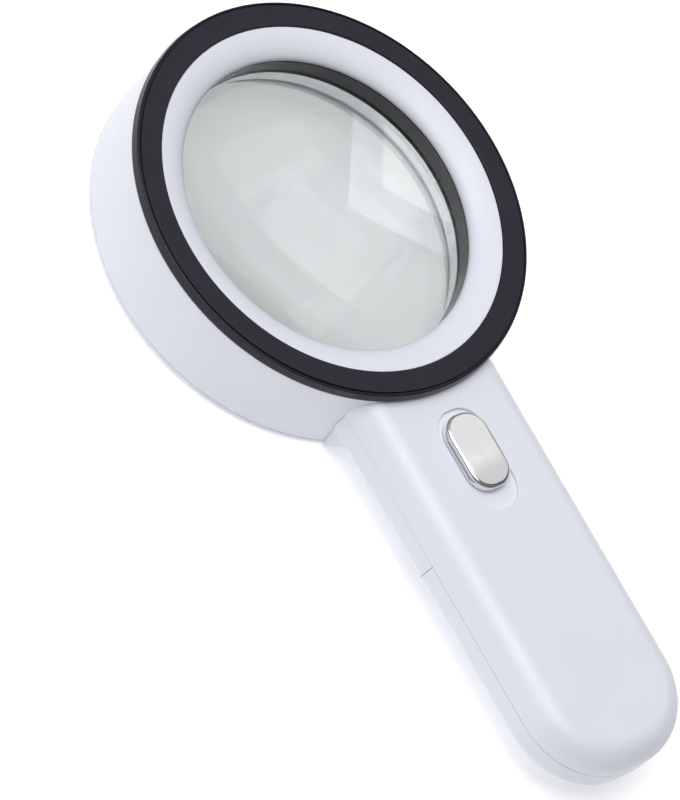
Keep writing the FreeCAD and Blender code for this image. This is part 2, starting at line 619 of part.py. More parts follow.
def switch_pins():
    return [cyl(0.45, SWITCH_BOARD_Z[0] - 0.9, SWITCH_BOARD_Z[1], x, y) for x, y in switch_pin_places()]


def switch_board_screws():
    return [screw(x, y, SWITCH_BOARD_Z[0], 18.6, BOARD_SCREW_R, 1.7, 1.1) for x, y in BOARD_POSTS]


# ---- batteries ---------------------------------------------------------------------------------
TRAY_HALF_W = 17.5
TRAY_T = 1.0
TRAY_TOP_Z = 21.65
TRAY_FLOOR_Z = CELL_Z + CELL_R + 0.1
TRAY_LOW_Z = 11.6
TERMINAL_Z = 12.6
STRIP_Z = (16.2, 18.6)
CELL_TAIL_Y = TRAY_Y[0] + TRAY_T + PLATE_T
CELL_HEAD_Y = TRAY_Y[1] - TRAY_T - PLATE_T


def battery_tray():
    """Open tray for three cells side by side, fixed in the front half of the handle."""
    y0, y1 = TRAY_Y
    block = box(-TRAY_HALF_W, TRAY_HALF_W, y0, y1, TRAY_LOW_Z, TRAY_TOP_Z)
    room_half = TRAY_HALF_W - TRAY_T + 0.1
    room = box(-room_half, room_half, y0 + TRAY_T, y1 - TRAY_T, 0, TRAY_FLOOR_Z)
    ridge_z = CELL_Z + 3.1
    ridges = [box(x - 0.8, x + 0.8, y0 + 2, y1 - 2, ridge_z, TRAY_FLOOR_Z + 0.2)
              for x in (-CELL_PITCH / 2, CELL_PITCH / 2)]
    lug = rounded_pad(7.0, 9.0, 3.0, *TRAY_LUG_Z, TRAY_SCREW_Y + 0.4)
    lug = lug.common(box(-FAR, FAR, -FAR, y0 + 0.5, 0, FAR))
    tray = joined([block.cut(room), lug] + ridges).common(handle_body(WALL + 0.35))
    holes = [cyl(BOARD_SCREW_R + 0.2, 0, 30, 0, TRAY_SCREW_Y)]
    tab_x = (-CELL_PITCH - 1.6, -CELL_PITCH + 1.6)
    holes.append(box(*tab_x, y1 - 2, y1 + 1, TERMINAL_Z - 0.3, TERMINAL_Z + 0.7))
    holes.append(box(CELL_PITCH - 1.6, CELL_PITCH + 1.6, y0 - 1, y0 + 2, STRIP_Z[0] - 0.1, STRIP_Z[1] + 0.1))
    return tray.cut(holes)


def cell(x, towards_tail):
    """AAA cell with its raised end at the tail side or the head side."""
    sleeve = CELL_L - 1.2
    if towards_tail:
        low, nub = CELL_TAIL_Y + 1.2, CELL_TAIL_Y
    else:
        low, nub = CELL_HEAD_Y - CELL_L, CELL_HEAD_Y - 1.2
    body = cyl_y(CELL_R, low, low + sleeve, x, CELL_Z)
    body = body.makeFillet(0.6, [e for e in body.Edges if e.BoundBox.YLength < 1e-6])
    tip = cyl_y(1.9, nub, nub + 1.2, x, CELL_Z)
    return joined([body, tip])


def contact_spring(x, at_head):
    """Conical spring, pressed nearly flat between the contact plate and the cell."""
    gap = CELL_HEAD_Y - CELL_TAIL_Y - CELL_L
    wire_r, big_r, small_r, turns, per_turn = 0.32, 3.6, 1.9, 2.25, 10
    rise = gap - 2 * wire_r - 0.1
    points = []
    count = int(turns * per_turn)
    for i in range(count + 1):
        share = i / count
        r = big_r + (small_r - big_r) * share
        angle = 2 * math.pi * turns * share
        points.append((r * math.cos(angle), r * math.sin(angle), wire_r + 0.05 + rise * share))
    coil = wire(points, wire_r)
    coil.rotate(V(0, 0, 0), V(1, 0, 0), 90 if at_head else -90)
    coil.translate(V(x, CELL_HEAD_Y if at_head else CELL_TAIL_Y, CELL_Z))
    return coil


def contact_springs():
    return [contact_spring(-CELL_PITCH, True), contact_spring(0.0, False), contact_spring(CELL_PITCH, True)]


def contact_plate(x0, x1, at_head):
    y = (CELL_HEAD_Y, CELL_HEAD_Y + PLATE_T) if at_head else (CELL_TAIL_Y - PLATE_T, CELL_TAIL_Y)
    return box(x0 - 4.2, x1 + 4.2, *y, CELL_Z - 3.9, CELL_Z + 3.9)


def bridge_plates():
    return [contact_plate(-CELL_PITCH, 0, False), contact_plate(0, CELL_PITCH, True)]


def negative_terminal():
    plate = contact_plate(-CELL_PITCH, -CELL_PITCH, True)
    tab_x = (-CELL_PITCH - 1.3, -CELL_PITCH + 1.3)
    tab = box(*tab_x, CELL_HEAD_Y, TRAY_Y[1] + 1.6, TERMINAL_Z, TERMINAL_Z + PLATE_T)
    return joined([plate, tab])


def positive_terminal():
    """Plate at the tail with a strip that returns along the tray's side to the head end."""
    plate = contact_plate(CELL_PITCH, CELL_PITCH, False)
    y0, y1 = TRAY_Y
    x = TRAY_HALF_W
    through = box(CELL_PITCH - 1.4, CELL_PITCH + 1.4, y0 - PLATE_T, CELL_TAIL_Y, *STRIP_Z)
    across = box(CELL_PITCH - 1.4, x + 0.05 + PLATE_T, y0 - 0.05 - PLATE_T, y0 - 0.05, *STRIP_Z)
    along = box(x + 0.05, x + 0.05 + PLATE_T, y0 - 0.05 - PLATE_T, y1 + 1.5, *STRIP_Z)
    return joined([plate, through, across, along])


def tray_screw():
    return screw(0, TRAY_SCREW_Y, TRAY_LUG_Z[0], 22.0, BOARD_SCREW_R, 1.9, 1.2)


def shell_screws():
    return [screw(x, y, SCREW_SEAT_Z, 20.0, SHELL_SCREW_R, 2.5, 1.8) for x, y in SHELL_SCREWS]


# ---- wires -------------------------------------------------------------------------------------
WIRE_R = 0.6


def wire_red():
    """From the positive strip to the switch board."""
    return wire([(17.8, -91.6, 17.4), (19.0, -88.0, 17.2), (19.0, -83.0, 16.0), (17.6, -77.6, 14.6),
                 (15.4, -74.4, 13.6), (12.6, -72.4, 12.7)], WIRE_R)


def wire_black():
    """From the negative terminal, over the switch board, to the LED board."""
    return wire([(-11.1, -91.6, 13.4), (-9.6, -87.5, 13.8), (-8.4, -82.0, 14.6), (-8.0, -75.0, 14.4),
                 (-7.8, -67.0, 14.0), (-6.6, -60.0, 12.8), (-5.4, -54.0, 12.0), (-4.9, -49.4, 11.2),
                 (-4.7, -47.6, 8.9)], WIRE_R)


def wire_switched():
    """From the switch board to the LED board."""
    return wire([(7.5, -63.4, 12.7), (6.8, -60.2, 13.6), (5.8, -56.0, 12.8), (5.3, -52.0, 12.1),
                 (4.9, -49.4, 11.2), (4.7, -47.6, 8.9)], WIRE_R)


# ---- export ------------------------------------------------------------------------------------
CELLS = [
    ("battery_left", -CELL_PITCH, True),
    ("battery_middle", 0.0, False),
    ("battery_right", CELL_PITCH, True),
]


def all_nodes():
    nodes = {
        "front_shell": front_shell(),
        "back_shell": back_shell(),
        "battery_door": battery_door(),
        "trim_ring": trim_ring(),
        "funnel_bezel": funnel_bezel(),
        "lens_retainer": lens_retainer(),
        "upper_lens": lens(UPPER_LENS_Z),
        "lens_spacer": lens_spacer(),
        "lower_lens": lens(LOWER_LENS_Z),
        "led_cover": led_cover(),
        "led_reflector": led_reflector(),
        "led_board": led_board(),
        "leds": leds(),
        "led_leads": led_leads(),
        "led_resistors": led_resistors(),
        "led_board_screws": board_screws(),
        "slide_button": slide_button(),
        "slide_carrier": slide_carrier(),
        "switch_case": switch_case(),
        "switch_lever": switch_lever(),
        "switch_board": switch_board(),
        "switch_pins": switch_pins(),
        "switch_board_screws": switch_board_screws(),
        "battery_tray": battery_tray(),
        "tray_screw": tray_screw(),
        "contact_springs": contact_springs(),
        "bridge_plates": bridge_plates(),
        "negative_terminal": negative_terminal(),
        "positive_terminal": positive_terminal(),
        "shell_screws": shell_screws(),
        "wire_red": wire_red(),
        "wire_black": wire_black(),
        "wire_switched": wire_switched(),
    }
    for name, x, towards_tail in CELLS:
        nodes[name] = cell(x, towards_tail)
    return nodes


def main():
    os.makedirs("parts", exist_ok=True)
    for name, shape in all_nodes().items():
        if isinstance(shape, list):
            shape = Part.makeCompound(shape)
        valid = shape.isValid() and all(s.isClosed() for s in shape.Shells)
        print(f"{name}: {len(shape.Solids)} solid(s), {shape.Volume / 1000:.2f} cm3, valid {valid}")
        shape.exportStep(f"parts/{name}.step")


main()
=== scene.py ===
"""The looks of an illuminated hand magnifier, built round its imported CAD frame.

Every mesh is in metres in the frame's own axes: the lens axis is +Z, the handle runs along -Y.
"""
import math

import bmesh
import bpy
from mathutils import Matrix, Vector


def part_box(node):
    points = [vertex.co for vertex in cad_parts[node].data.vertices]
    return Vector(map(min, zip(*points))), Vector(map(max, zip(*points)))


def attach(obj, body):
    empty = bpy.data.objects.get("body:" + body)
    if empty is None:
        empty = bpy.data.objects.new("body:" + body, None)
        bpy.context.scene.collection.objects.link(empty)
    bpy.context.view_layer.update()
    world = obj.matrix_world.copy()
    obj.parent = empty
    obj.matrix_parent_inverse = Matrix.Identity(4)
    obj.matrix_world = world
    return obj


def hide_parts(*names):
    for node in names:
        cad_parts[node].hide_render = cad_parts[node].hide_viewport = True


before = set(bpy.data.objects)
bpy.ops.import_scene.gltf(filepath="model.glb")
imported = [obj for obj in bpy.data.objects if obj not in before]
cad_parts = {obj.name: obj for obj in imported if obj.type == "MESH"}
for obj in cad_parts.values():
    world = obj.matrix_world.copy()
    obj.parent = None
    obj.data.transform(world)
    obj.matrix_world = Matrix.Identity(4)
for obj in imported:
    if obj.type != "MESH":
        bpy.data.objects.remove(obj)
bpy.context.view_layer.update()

MM = 0.001
SEGMENTS = 288            # sides of a large round piece
SMALL_SEGMENTS = 48
CELL_SEGMENTS = 96
SHARP = math.radians(32)
MERGE_DISTANCE = 2e-6     # vertices closer than this, in metres, are one

# ---- sizes in millimetres, from the frame and the design ----------------------------------------


def low(node):
    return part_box(node)[0] / MM


def high(node):
    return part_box(node)[1] / MM


FACE_Z = high("trim_ring").z
TRIM_FOOT_R = high("trim_ring").x
HEAD_R = 54.0
WALL_INNER_R = 51.8
TRIM_FOOT_Z = FACE_Z - 2.65
TRIM_INNER_R = 47.41
RIM_Z = 2.0

HANDLE_HALF = -low("battery_door").x
TAIL_Y = low("battery_door").y
HANDLE_BACK_Z = low("battery_door").z
HANDLE_FRONT_Z = 23.7
CORNER_R = 20.3
FRONT_EDGE_R = 6.4
BACK_EDGE_R = 3.8
WALL = 1.8
PARTING_Z = 15.7
SHELL_END_Y = low("back_shell").y
DOOR_JOINT = 0.14          # the door sits closer in its joint than the frame's running clearance
DOOR_FRONT_Y = SHELL_END_Y - DOOR_JOINT

BUTTON_LOW, BUTTON_HIGH = low("slide_button"), high("slide_button")
BUTTON_Y = (BUTTON_LOW.y + BUTTON_HIGH.y) / 2
BUTTON_W = 12.4
PILL_CORNER = 0.44        # corner radius of the button and its recess, as a share of the width
RECESS_Z = HANDLE_FRONT_Z - 0.8

LENS_R = high("upper_lens").x
LENS_SAG = 3.0
LENS_EDGE = 2.5
UPPER_LENS_Z = 14.8
LOWER_LENS_Z = 5.6
APERTURE_R = 40.0
SEAT_INNER_R = 40.9       # the seat is cut back from the aperture, so that it is faint through the lens
LENS_TUBE_R = (42.1, 43.3)
LENS_TUBE_TOP_Z = 22.3
FLANGE_Z = (18.6, 20.0)   # between the lens tube and the head wall
LED_PITCH_R = 46.6
LED_COUNT = 12
LED_FIRST = 15.0          # degrees


# ---- outlines -----------------------------------------------------------------------------------
def arc(cx, cy, r, start, end, steps):
    """Points of an arc, angles in degrees, both ends included."""
    points = []
    for i in range(steps + 1):
        a = math.radians(start + (end - start) * i / steps)
        points.append((cx + r * math.cos(a), cy + r * math.sin(a)))
    return points


def rounded(corners, steps=5):
    """Closed outline through (x, y, radius) corners, each rounded by its own radius."""
    points = []
    for i, (x, y, r) in enumerate(corners):
        here = Vector((x, y))
        back = Vector(corners[i - 1][:2]) - here
        ahead = Vector(corners[(i + 1) % len(corners)][:2]) - here
        if r <= 0:
            points.append((x, y))
            continue
        back.normalize()
        ahead.normalize()
        half = back.angle(ahead) / 2
        reach = r / math.tan(half)
        centre = here + (back + ahead).normalized() * (r / math.sin(half))
        start, end = here + back * reach - centre, here + ahead * reach - centre
        turn = start.angle_signed(end)
        for k in range(steps + 1):
            spoke = start.copy()
            spoke.rotate(Matrix.Rotation(-turn * k / steps, 2))
            points.append(tuple(centre + spoke))
    return points


# ---- meshes -------------------------------------------------------------------------------------
def new_piece(name, verts, faces):
    """A mesh object from vertices in millimetres."""
    mesh = bpy.data.meshes.new(name)
    mesh.from_pydata([Vector(v) * MM for v in verts], [], faces)
    mesh.update()
    piece = bpy.data.objects.new(name, mesh)
    bpy.context.scene.collection.objects.link(piece)
    fix_normals(piece)
    return piece


def fix_normals(piece):
    edit = bmesh.new()
    edit.from_mesh(piece.data)
    bmesh.ops.recalc_face_normals(edit, faces=edit.faces)
    edit.to_mesh(piece.data)
    edit.free()


def lathe(name, outline, segments=SEGMENTS, x=0.0, y=0.0):
    """Closed outline of (radius, z) points turned about a vertical axis; radius 0 closes on the axis."""
    verts, rows = [], []
    for r, z in outline:
        if r < 1e-6:
            rows.append([len(verts)] * segments)
            verts.append((x, y, z))
            continue
        first = len(verts)
        rows.append(list(range(first, first + segments)))
        for k in range(segments):
            a = 2 * math.pi * k / segments
            verts.append((x + r * math.cos(a), y + r * math.sin(a), z))
    faces = []
    for i, row in enumerate(rows):
        other = rows[(i + 1) % len(rows)]
        for k in range(segments):
            n = (k + 1) % segments
            loop = []
            for v in (row[k], row[n], other[n], other[k]):
                if v not in loop:
                    loop.append(v)
            if len(loop) > 2:
                faces.append(loop)
    return new_piece(name, verts, faces)


def block(x0, x1, y0, y1, z0, z1):
    verts = [(x, y, z) for z in (z0, z1) for y in (y0, y1) for x in (x0, x1)]
    faces = [(0, 2, 3, 1), (4, 5, 7, 6), (0, 1, 5, 4), (2, 6, 7, 3), (0, 4, 6, 2), (1, 3, 7, 5)]
    return new_piece("block", verts, faces)


def side_faces(n):
    """Faces between two rings of n vertices that follow each other."""
    return [(i, (i + 1) % n, n + (i + 1) % n, n + i) for i in range(n)]


def prism(outline, z0, z1):
    """Upright block with a plan outline of (x, y) points."""
    n = len(outline)
    verts = [(x, y, z0) for x, y in outline] + [(x, y, z1) for x, y in outline]
    faces = [tuple(range(n))[::-1], tuple(range(n, 2 * n))]
    return new_piece("prism", verts, faces + side_faces(n))


def bar(outline, half_width):
    """Block across the handle with a side outline of (y, z) points."""
    n = len(outline)
    verts = [(x, y, z) for x in (-half_width, half_width) for y, z in outline]
    faces = [tuple(range(n)), tuple(range(n, 2 * n))[::-1]]
    return new_piece("bar", verts, faces + side_faces(n))


def pad_outline(width, y0, y1, corner, steps=14):
    """Plan outline of a rounded pad, centred on the handle."""
    half = width / 2
    return rounded([(half, y0, corner), (half, y1, corner), (-half, y1, corner), (-half, y0, corner)], steps)


def combine(target, tool, how):
    """Boolean of two closed meshes; the tool is used up."""
    change = target.modifiers.new("cut", "BOOLEAN")
    change.operation = how
    change.solver = "EXACT"
    change.object = tool
    depsgraph = bpy.context.evaluated_depsgraph_get()
    result = bpy.data.meshes.new_from_object(target.evaluated_get(depsgraph))
    target.modifiers.clear()
    old = target.data
    target.data = result
    bpy.data.meshes.remove(old)
    bpy.data.objects.remove(tool)
    return target


def cut(target, *tools):
    for tool in tools:
        combine(target, tool, "DIFFERENCE")
    return target


def unite(target, *tools):
    for tool in tools:
        combine(target, tool, "UNION")
    return target


def keep_inside(target, tool):
    return combine(target, tool, "INTERSECT")


def soften(piece, chosen, width, steps=3):
    """Rounds the edges whose midpoint, in millimetres, is chosen."""
    edit = bmesh.new()
    edit.from_mesh(piece.data)
    edit.normal_update()
    picked = [edge for edge in edit.edges if len(edge.link_faces) == 2
              and chosen((edge.verts[0].co + edge.verts[1].co) / 2 / MM)]
    bmesh.ops.bevel(edit, geom=picked, offset=width * MM, segments=steps, profile=0.5, affect="EDGES",
                    clamp_overlap=True)
    edit.to_mesh(piece.data)
    edit.free()


def joined(name, pieces):
    """One mesh object from several, with their materials dropped."""
    edit = bmesh.new()
    for piece in pieces:
        edit.from_mesh(piece.data)
        bpy.data.objects.remove(piece)
    mesh = bpy.data.meshes.new(name)
    edit.to_mesh(mesh)
    edit.free()
    result = bpy.data.objects.new(name, mesh)
    bpy.context.scene.collection.objects.link(result)
    return result


def finish_piece(piece, name, body, material, slot, *nodes, weighted=True):
    """Cleans, names, shades and paints a piece, and ties it to its CAD nodes and body."""
    piece.name = name
    piece.data.name = name
    edit = bmesh.new()
    edit.from_mesh(piece.data)
    bmesh.ops.remove_doubles(edit, verts=edit.verts, dist=MERGE_DISTANCE)
    bmesh.ops.holes_fill(edit, edges=[e for e in edit.edges if e.is_boundary], sides=4)
    edit.to_mesh(piece.data)
    edit.free()
    piece.data.shade_smooth()
    piece.data.set_sharp_from_angle(angle=SHARP)
    if weighted:
        even = piece.modifiers.new("even_normals", "WEIGHTED_NORMAL")
        even.keep_sharp = True
        even.weight = 80
    piece.data.materials.clear()
    piece.data.materials.append(material)
    if nodes:
        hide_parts(*nodes)
    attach(piece, body)


# ---- materials ----------------------------------------------------------------------------------
class Paint:
    """A node material with a Principled shader, and short ways to vary it over the surface."""

    def __init__(self, name):
        self.material = bpy.data.materials.new(name)
        self.material.use_nodes = True
        self.tree = self.material.node_tree
        self.tree.nodes.clear()
        self.shader = self.tree.nodes.new("ShaderNodeBsdfPrincipled")
        out = self.tree.nodes.new("ShaderNodeOutputMaterial")
        self.tree.links.new(self.shader.outputs[0], out.inputs[0])
        self.place = self.tree.nodes.new("ShaderNodeTexCoord")

    def set(self, **values):
        for key, value in values.items():
            self.shader.inputs[key.replace("_", " ")].default_value = value
        return self

    def noise(self, size_mm, detail=3.0, stretch=(1, 1, 1)):
        """Noise whose features are about size_mm across, as a value from 0 to 1."""
        scale = self.tree.nodes.new("ShaderNodeMapping")
        scale.inputs["Scale"].default_value = stretch
        self.tree.links.new(self.place.outputs["Object"], scale.inputs["Vector"])
        node = self.tree.nodes.new("ShaderNodeTexNoise")
        node.inputs["Scale"].default_value = 1.0 / (size_mm * MM)
        node.inputs["Detail"].default_value = detail
        self.tree.links.new(scale.outputs[0], node.inputs["Vector"])
        return node.outputs[0]

    def spread(self, value, low_value, high_value):
        """Stretches the middle part of a noise, where most of it lies, over a range."""
        node = self.tree.nodes.new("ShaderNodeMapRange")
        node.inputs["From Min"].default_value = 0.3
        node.inputs["From Max"].default_value = 0.7
        node.inputs["To Min"].default_value = low_value
        node.inputs["To Max"].default_value = high_value
        self.tree.links.new(value, node.inputs["Value"])
        return node.outputs[0]

    def mottle(self, size_mm, detail, first, second):
        """Base colour that drifts between two colours, in patches about size_mm across."""
        value = self.spread(self.noise(size_mm, detail), 0, 1)
        node = self.tree.nodes.new("ShaderNodeMix")
        node.data_type = "RGBA"
        node.inputs["A"].default_value = (*first, 1)
        node.inputs["B"].default_value = (*second, 1)
        self.tree.links.new(value, node.inputs["Factor"])
        self.tree.links.new(node.outputs["Result"], self.shader.inputs["Base Color"])

    def rough(self, value, smooth, dull):
        self.tree.links.new(self.spread(value, smooth, dull), self.shader.inputs["Roughness"])
        return self

    def bump(self, value, depth_mm, strength=1.0):
        node = self.tree.nodes.new("ShaderNodeBump")
        node.inputs["Strength"].default_value = strength
        node.inputs["Distance"].default_value = depth_mm * MM
        self.tree.links.new(value, node.inputs["Height"])
        normal = self.shader.inputs["Normal"]
        if normal.is_linked:
            self.tree.links.new(normal.links[0].from_socket, node.inputs["Normal"])
        self.tree.links.new(node.outputs[0], normal)
        return self


def white_abs():
    """Moulded white ABS: a faint flow mottle, fine spark texture and handling marks in the gloss."""
    p = Paint("white_abs").set(IOR=1.52)
    p.mottle(30, 2, (0.76, 0.774, 0.85), (0.775, 0.79, 0.865))
    p.rough(p.noise(9, 4), 0.36, 0.46)
    p.bump(p.noise(0.35, 2), 0.004, 0.5)
    return p.bump(p.noise(22, 1), 0.03, 0.3).material


def black_abs():
    p = Paint("black_abs").set(IOR=1.5, Specular_IOR_Level=0.3)
    p.mottle(14, 3, (0.010, 0.009, 0.019), (0.013, 0.0115, 0.023))
    p.rough(p.noise(5, 4), 0.24, 0.34)
    p.bump(p.noise(0.25, 2), 0.003, 0.5)
    return p.bump(p.noise(2.0, 3, (1, 1, 0.2)), 0.004, 0.3).material


def black_matt(name, shade):
    p = Paint(name).set(IOR=1.5)
    p.mottle(3, 4, (shade,) * 3, (shade * 1.4,) * 3)
    p.rough(p.noise(1.5, 3), 0.5, 0.65)
    return p.bump(p.noise(0.3, 3), 0.006).material


def black_inner():
    """Black moulding with a soft sheen, for the ring above the lens; its base colour is lifted to dark grey
    as painted reflection of the bright parts round it.
    """
    p = Paint("black_inner").set(IOR=1.5)
    # painted reflection: this grey base stands in for light the black ring reflects from the funnel and lens
    p.mottle(6, 3, (0.125, 0.127, 0.133), (0.145, 0.147, 0.154))
    p.rough(p.noise(2, 4), 0.16, 0.24)
    return p.bump(p.noise(0.3, 2), 0.003).material


def tray_white():
    p = Paint("tray_white").set(IOR=1.5)
    p.mottle(12, 3, (0.88, 0.88, 0.88), (0.91, 0.91, 0.915))
    p.rough(p.noise(3, 3), 0.5, 0.62)
    return p.bump(p.noise(0.4, 2), 0.006).material


def optical_glass():
    p = Paint("optical_glass").set(IOR=1.52, Transmission_Weight=1.0)
    p.mottle(40, 2, (0.958, 0.980, 0.982), (0.966, 0.984, 0.987))
    return p.rough(p.noise(6, 5), 0.0, 0.02).material


def ground_glass():
    p = Paint("ground_glass").set(IOR=1.52, Transmission_Weight=0.15)
    p.mottle(2, 4, (0.93, 0.96, 0.95), (0.96, 0.98, 0.97))
    p.rough(p.noise(0.6, 4), 0.55, 0.8)
    return p.bump(p.noise(0.2, 3), 0.01).material


def clear_window():
    p = Paint("clear_window").set(IOR=1.58, Transmission_Weight=1.0)
    p.mottle(20, 3, (0.965, 0.97, 0.975), (0.98, 0.983, 0.985))
    return p.rough(p.noise(4, 4), 0.02, 0.06).material


def reflector_white():
    p = Paint("reflector_white").set(IOR=1.52)
    p.mottle(8, 3, (0.86, 0.86, 0.865), (0.90, 0.90, 0.90))
    p.rough(p.noise(3, 3), 0.18, 0.28)
    return p.bump(p.noise(0.5, 2), 0.004).material


def chrome():
    """Plated plastic: bright, with fine wiping marks along the direction of travel."""
    p = Paint("chrome").set(Metallic=1.0)
    p.mottle(3, 3, (0.80, 0.80, 0.815), (0.83, 0.83, 0.845))
    p.rough(p.noise(1.2, 4, (1, 0.15, 1)), 0.11, 0.15)
    return p.bump(p.noise(0.5, 3, (1, 0.08, 1)), 0.0005, 0.3).material


def plated(name, colour, smooth=0.2, dull=0.38):
    """Bright metal with a finish between smooth and dull."""
    p = Paint(name).set(Metallic=1.0)
    p.mottle(2.5, 4, tuple(0.9 * c for c in colour), colour)
    p.rough(p.noise(0.8, 4), smooth, dull)
    return p.bump(p.noise(0.25, 3), 0.003).material


def circuit_board():
    """White solder mask over copper tracks that show through as faint ridges."""
    p = Paint("circuit_board").set(IOR=1.5)
    p.mottle(4, 3, (0.70, 0.74, 0.70), (0.80, 0.82, 0.79))
    p.rough(p.noise(1.5, 3), 0.3, 0.42)
    return p.bump(p.noise(2.2, 1, (1, 0.25, 1)), 0.02).material


def led_epoxy():
    p = Paint("led_epoxy").set(IOR=1.51, Transmission_Weight=1.0)
    p.mottle(1.5, 3, (0.97, 0.965, 0.93), (0.985, 0.98, 0.96))
    return p.rough(p.noise(1, 3), 0.02, 0.07).material


def phosphor():
    p = Paint("phosphor").set(IOR=1.5)
    p.mottle(0.3, 4, (0.80, 0.62, 0.12), (0.88, 0.74, 0.22))
    p.rough(p.noise(0.2, 3), 0.5, 0.7)
    return p.bump(p.noise(0.15, 3), 0.01).material


def sleeve(name, first, second):
    """Shrunk film over a cell, with no print."""
    p = Paint(name).set(IOR=1.5, Coat_Weight=0.6, Coat_Roughness=0.12)
    p.mottle(5, 4, first, second)
    p.rough(p.noise(2, 3), 0.28, 0.4)
    return p.bump(p.noise(3, 2, (1, 0.3, 1)), 0.01).material


def insulation(name, colour):
    p = Paint(name).set(IOR=1.48)
    p.mottle(2, 3, tuple(0.8 * c for c in colour), colour)
    p.rough(p.noise(0.8, 3), 0.4, 0.55)
    return p.bump(p.noise(0.3, 2), 0.005).material


def pale_floor():
    """Matt white that gives off a little light, as a light table does."""
    p = Paint("pale_floor").set(IOR=1.4, Specular_IOR_Level=0.1)
    p.mottle(300, 3, (0.93, 0.93, 0.935), (0.95, 0.95, 0.95))
    p.set(Emission_Color=(1, 1, 1, 1), Emission_Strength=0.33)
    return p.rough(p.noise(60, 3), 0.75, 0.9).material


WHITE_ABS = white_abs()
BLACK_ABS = black_abs()
OPTICAL_GLASS = optical_glass()
GROUND_GLASS = ground_glass()
CLEAR_WINDOW = clear_window()
REFLECTOR_WHITE = reflector_white()
CHROME = chrome()
NICKEL = plated("nickel", (0.72, 0.70, 0.66))
TINNED = plated("tinned", (0.70, 0.71, 0.72), 0.25, 0.45)
ZINC = plated("zinc", (0.62, 0.63, 0.65), 0.22, 0.4)
BOARD = circuit_board()
LED_EPOXY = led_epoxy()


# ---- handle -------------------------------------------------------------------------------------
HEAD_END_Y = -30.0         # the handle's form runs on into the head as far as this
FAR = 200.0                # beyond every part of the object
SKIN = 0.02                # a point this close to an outer face counts as on it


def handle_path(inset, steps=28):
    """The handle's plan outline, moved inwards by inset: up the right side from the head, round the tail."""
    half, tail, r = HANDLE_HALF - inset, TAIL_Y + inset, CORNER_R - inset
    corner_y = tail + r
    points = [(half, HEAD_END_Y)]
    points += arc(half - r, corner_y, r, 0, -90, steps)
    points += arc(r - half, corner_y, r, -90, -180, steps)
    return points + [(-half, HEAD_END_Y)]


def handle_solid(inset, steps=14):
    """The handle's rounded outer form, moved inwards by inset, closed at the head end."""
    back, front = HANDLE_BACK_Z + inset, HANDLE_FRONT_Z - inset
    back_r, front_r = BACK_EDGE_R - inset, FRONT_EDGE_R - inset
    profile = arc(back_r, back + back_r, back_r, -90, -180, steps)
    profile += arc(front_r, front - front_r, front_r, 180, 90, steps)
    verts, rows = [], []
    for depth, z in profile:
        path = handle_path(inset + depth)
        rows.append(list(range(len(verts), len(verts) + len(path))))
        verts += [(x, y, z) for x, y in path]
    faces = [tuple(rows[0]), tuple(rows[-1])[::-1]]
    for row, above in zip(rows, rows[1:]):
        for k in range(len(row) - 1):
            faces.append((row[k], row[k + 1], above[k + 1], above[k]))
    faces.append(tuple([row[0] for row in rows] + [row[-1] for row in reversed(rows)]))
    return new_piece("handle", verts, faces)


def edge_inset(p):
    """How far a point lies inside the handle's plan outline."""
    x, corner_y = abs(p.x), TAIL_Y + CORNER_R
    if p.y > corner_y:
        return HANDLE_HALF - x
    across = max(x - (HANDLE_HALF - CORNER_R), 0.0)
    return CORNER_R - math.hypot(across, corner_y - p.y)


def on_rim(p, z):
    """Is a point on the handle's outer edge at height z, clear of the head?"""
    return abs(p.z - z) < 0.01 and edge_inset(p) < SKIN and math.hypot(p.x, p.y) > HEAD_R + 0.3


def column(r, z0, z1, x=0.0, y=0.0, segments=SMALL_SEGMENTS):
    """Upright solid cylinder."""
    return lathe("column", [(0, z0), (r, z0), (r, z1), (0, z1)], segments, x, y)


# rails that the battery door slides on
RAIL_Y = (-128.0, -96.0)
RAIL_X = (18.1, 19.1)
RAIL_LIP_X = 20.4
RAIL_LIP_Z = (11.9, 13.0)
# fixings: places in plan, and the heights where their posts end
SHELL_SCREWS = [(-14.0, -86.5), (14.0, -86.5)]
BOSS_SPLIT_Z = 13.4
BOARD_POSTS = [(-12.0, -64.5), (12.0, -79.0)]
SWITCH_BOARD_TOP_Z = 12.0
POSTS = [math.radians(a) for a in (30, 150, 210, 330)]
POST_PITCH_R = 47.6
LED_BOARD_TOP_Z = 8.1
TRAY_LUG = (0.0, -147.6)
TRAY_LUG_Z = 18.0
SHELL_PILOT_R, SMALL_PILOT_R = 1.15, 0.95
# the button's recess, and the slot in its floor for the stem
RECESS_Y = (BUTTON_LOW.y - 4.9, BUTTON_HIGH.y + 1.7)
RECESS_W = 14.2
SLOT_Y = (BUTTON_Y - 8.3, BUTTON_Y + 4.3)
SLOT_HALF_W = 2.5
# snaps round the head, in degrees, and the half widths of their arms, hooks and pockets
TRIM_SNAPS = [30 + 60 * k for k in range(6)]
RIM_SNAPS = [60 * k for k in range(6)]
ARM_HALF_W, HOOK_HALF_W, POCKET_HALF_W = 3.5, 3.4, 3.9
WIRE_GATE = (9.0, 8.6, 15.2)       # half width, low z and high z of the opening from the head to the neck


def on_circle(r, angle):
    return r * math.cos(angle), r * math.sin(angle)


def curved_block(r_in, r_out, z0, z1, degrees, half_width, steps=8):
    """Block between two radii, centred on an angle."""
    outer = math.degrees(math.asin(half_width / r_out))
    inner = math.degrees(math.asin(half_width / r_in))
    outline = arc(0, 0, r_out, degrees - outer, degrees + outer, steps)
    outline += arc(0, 0, r_in, degrees + inner, degrees - inner, steps)
    return prism(outline, z0, z1)


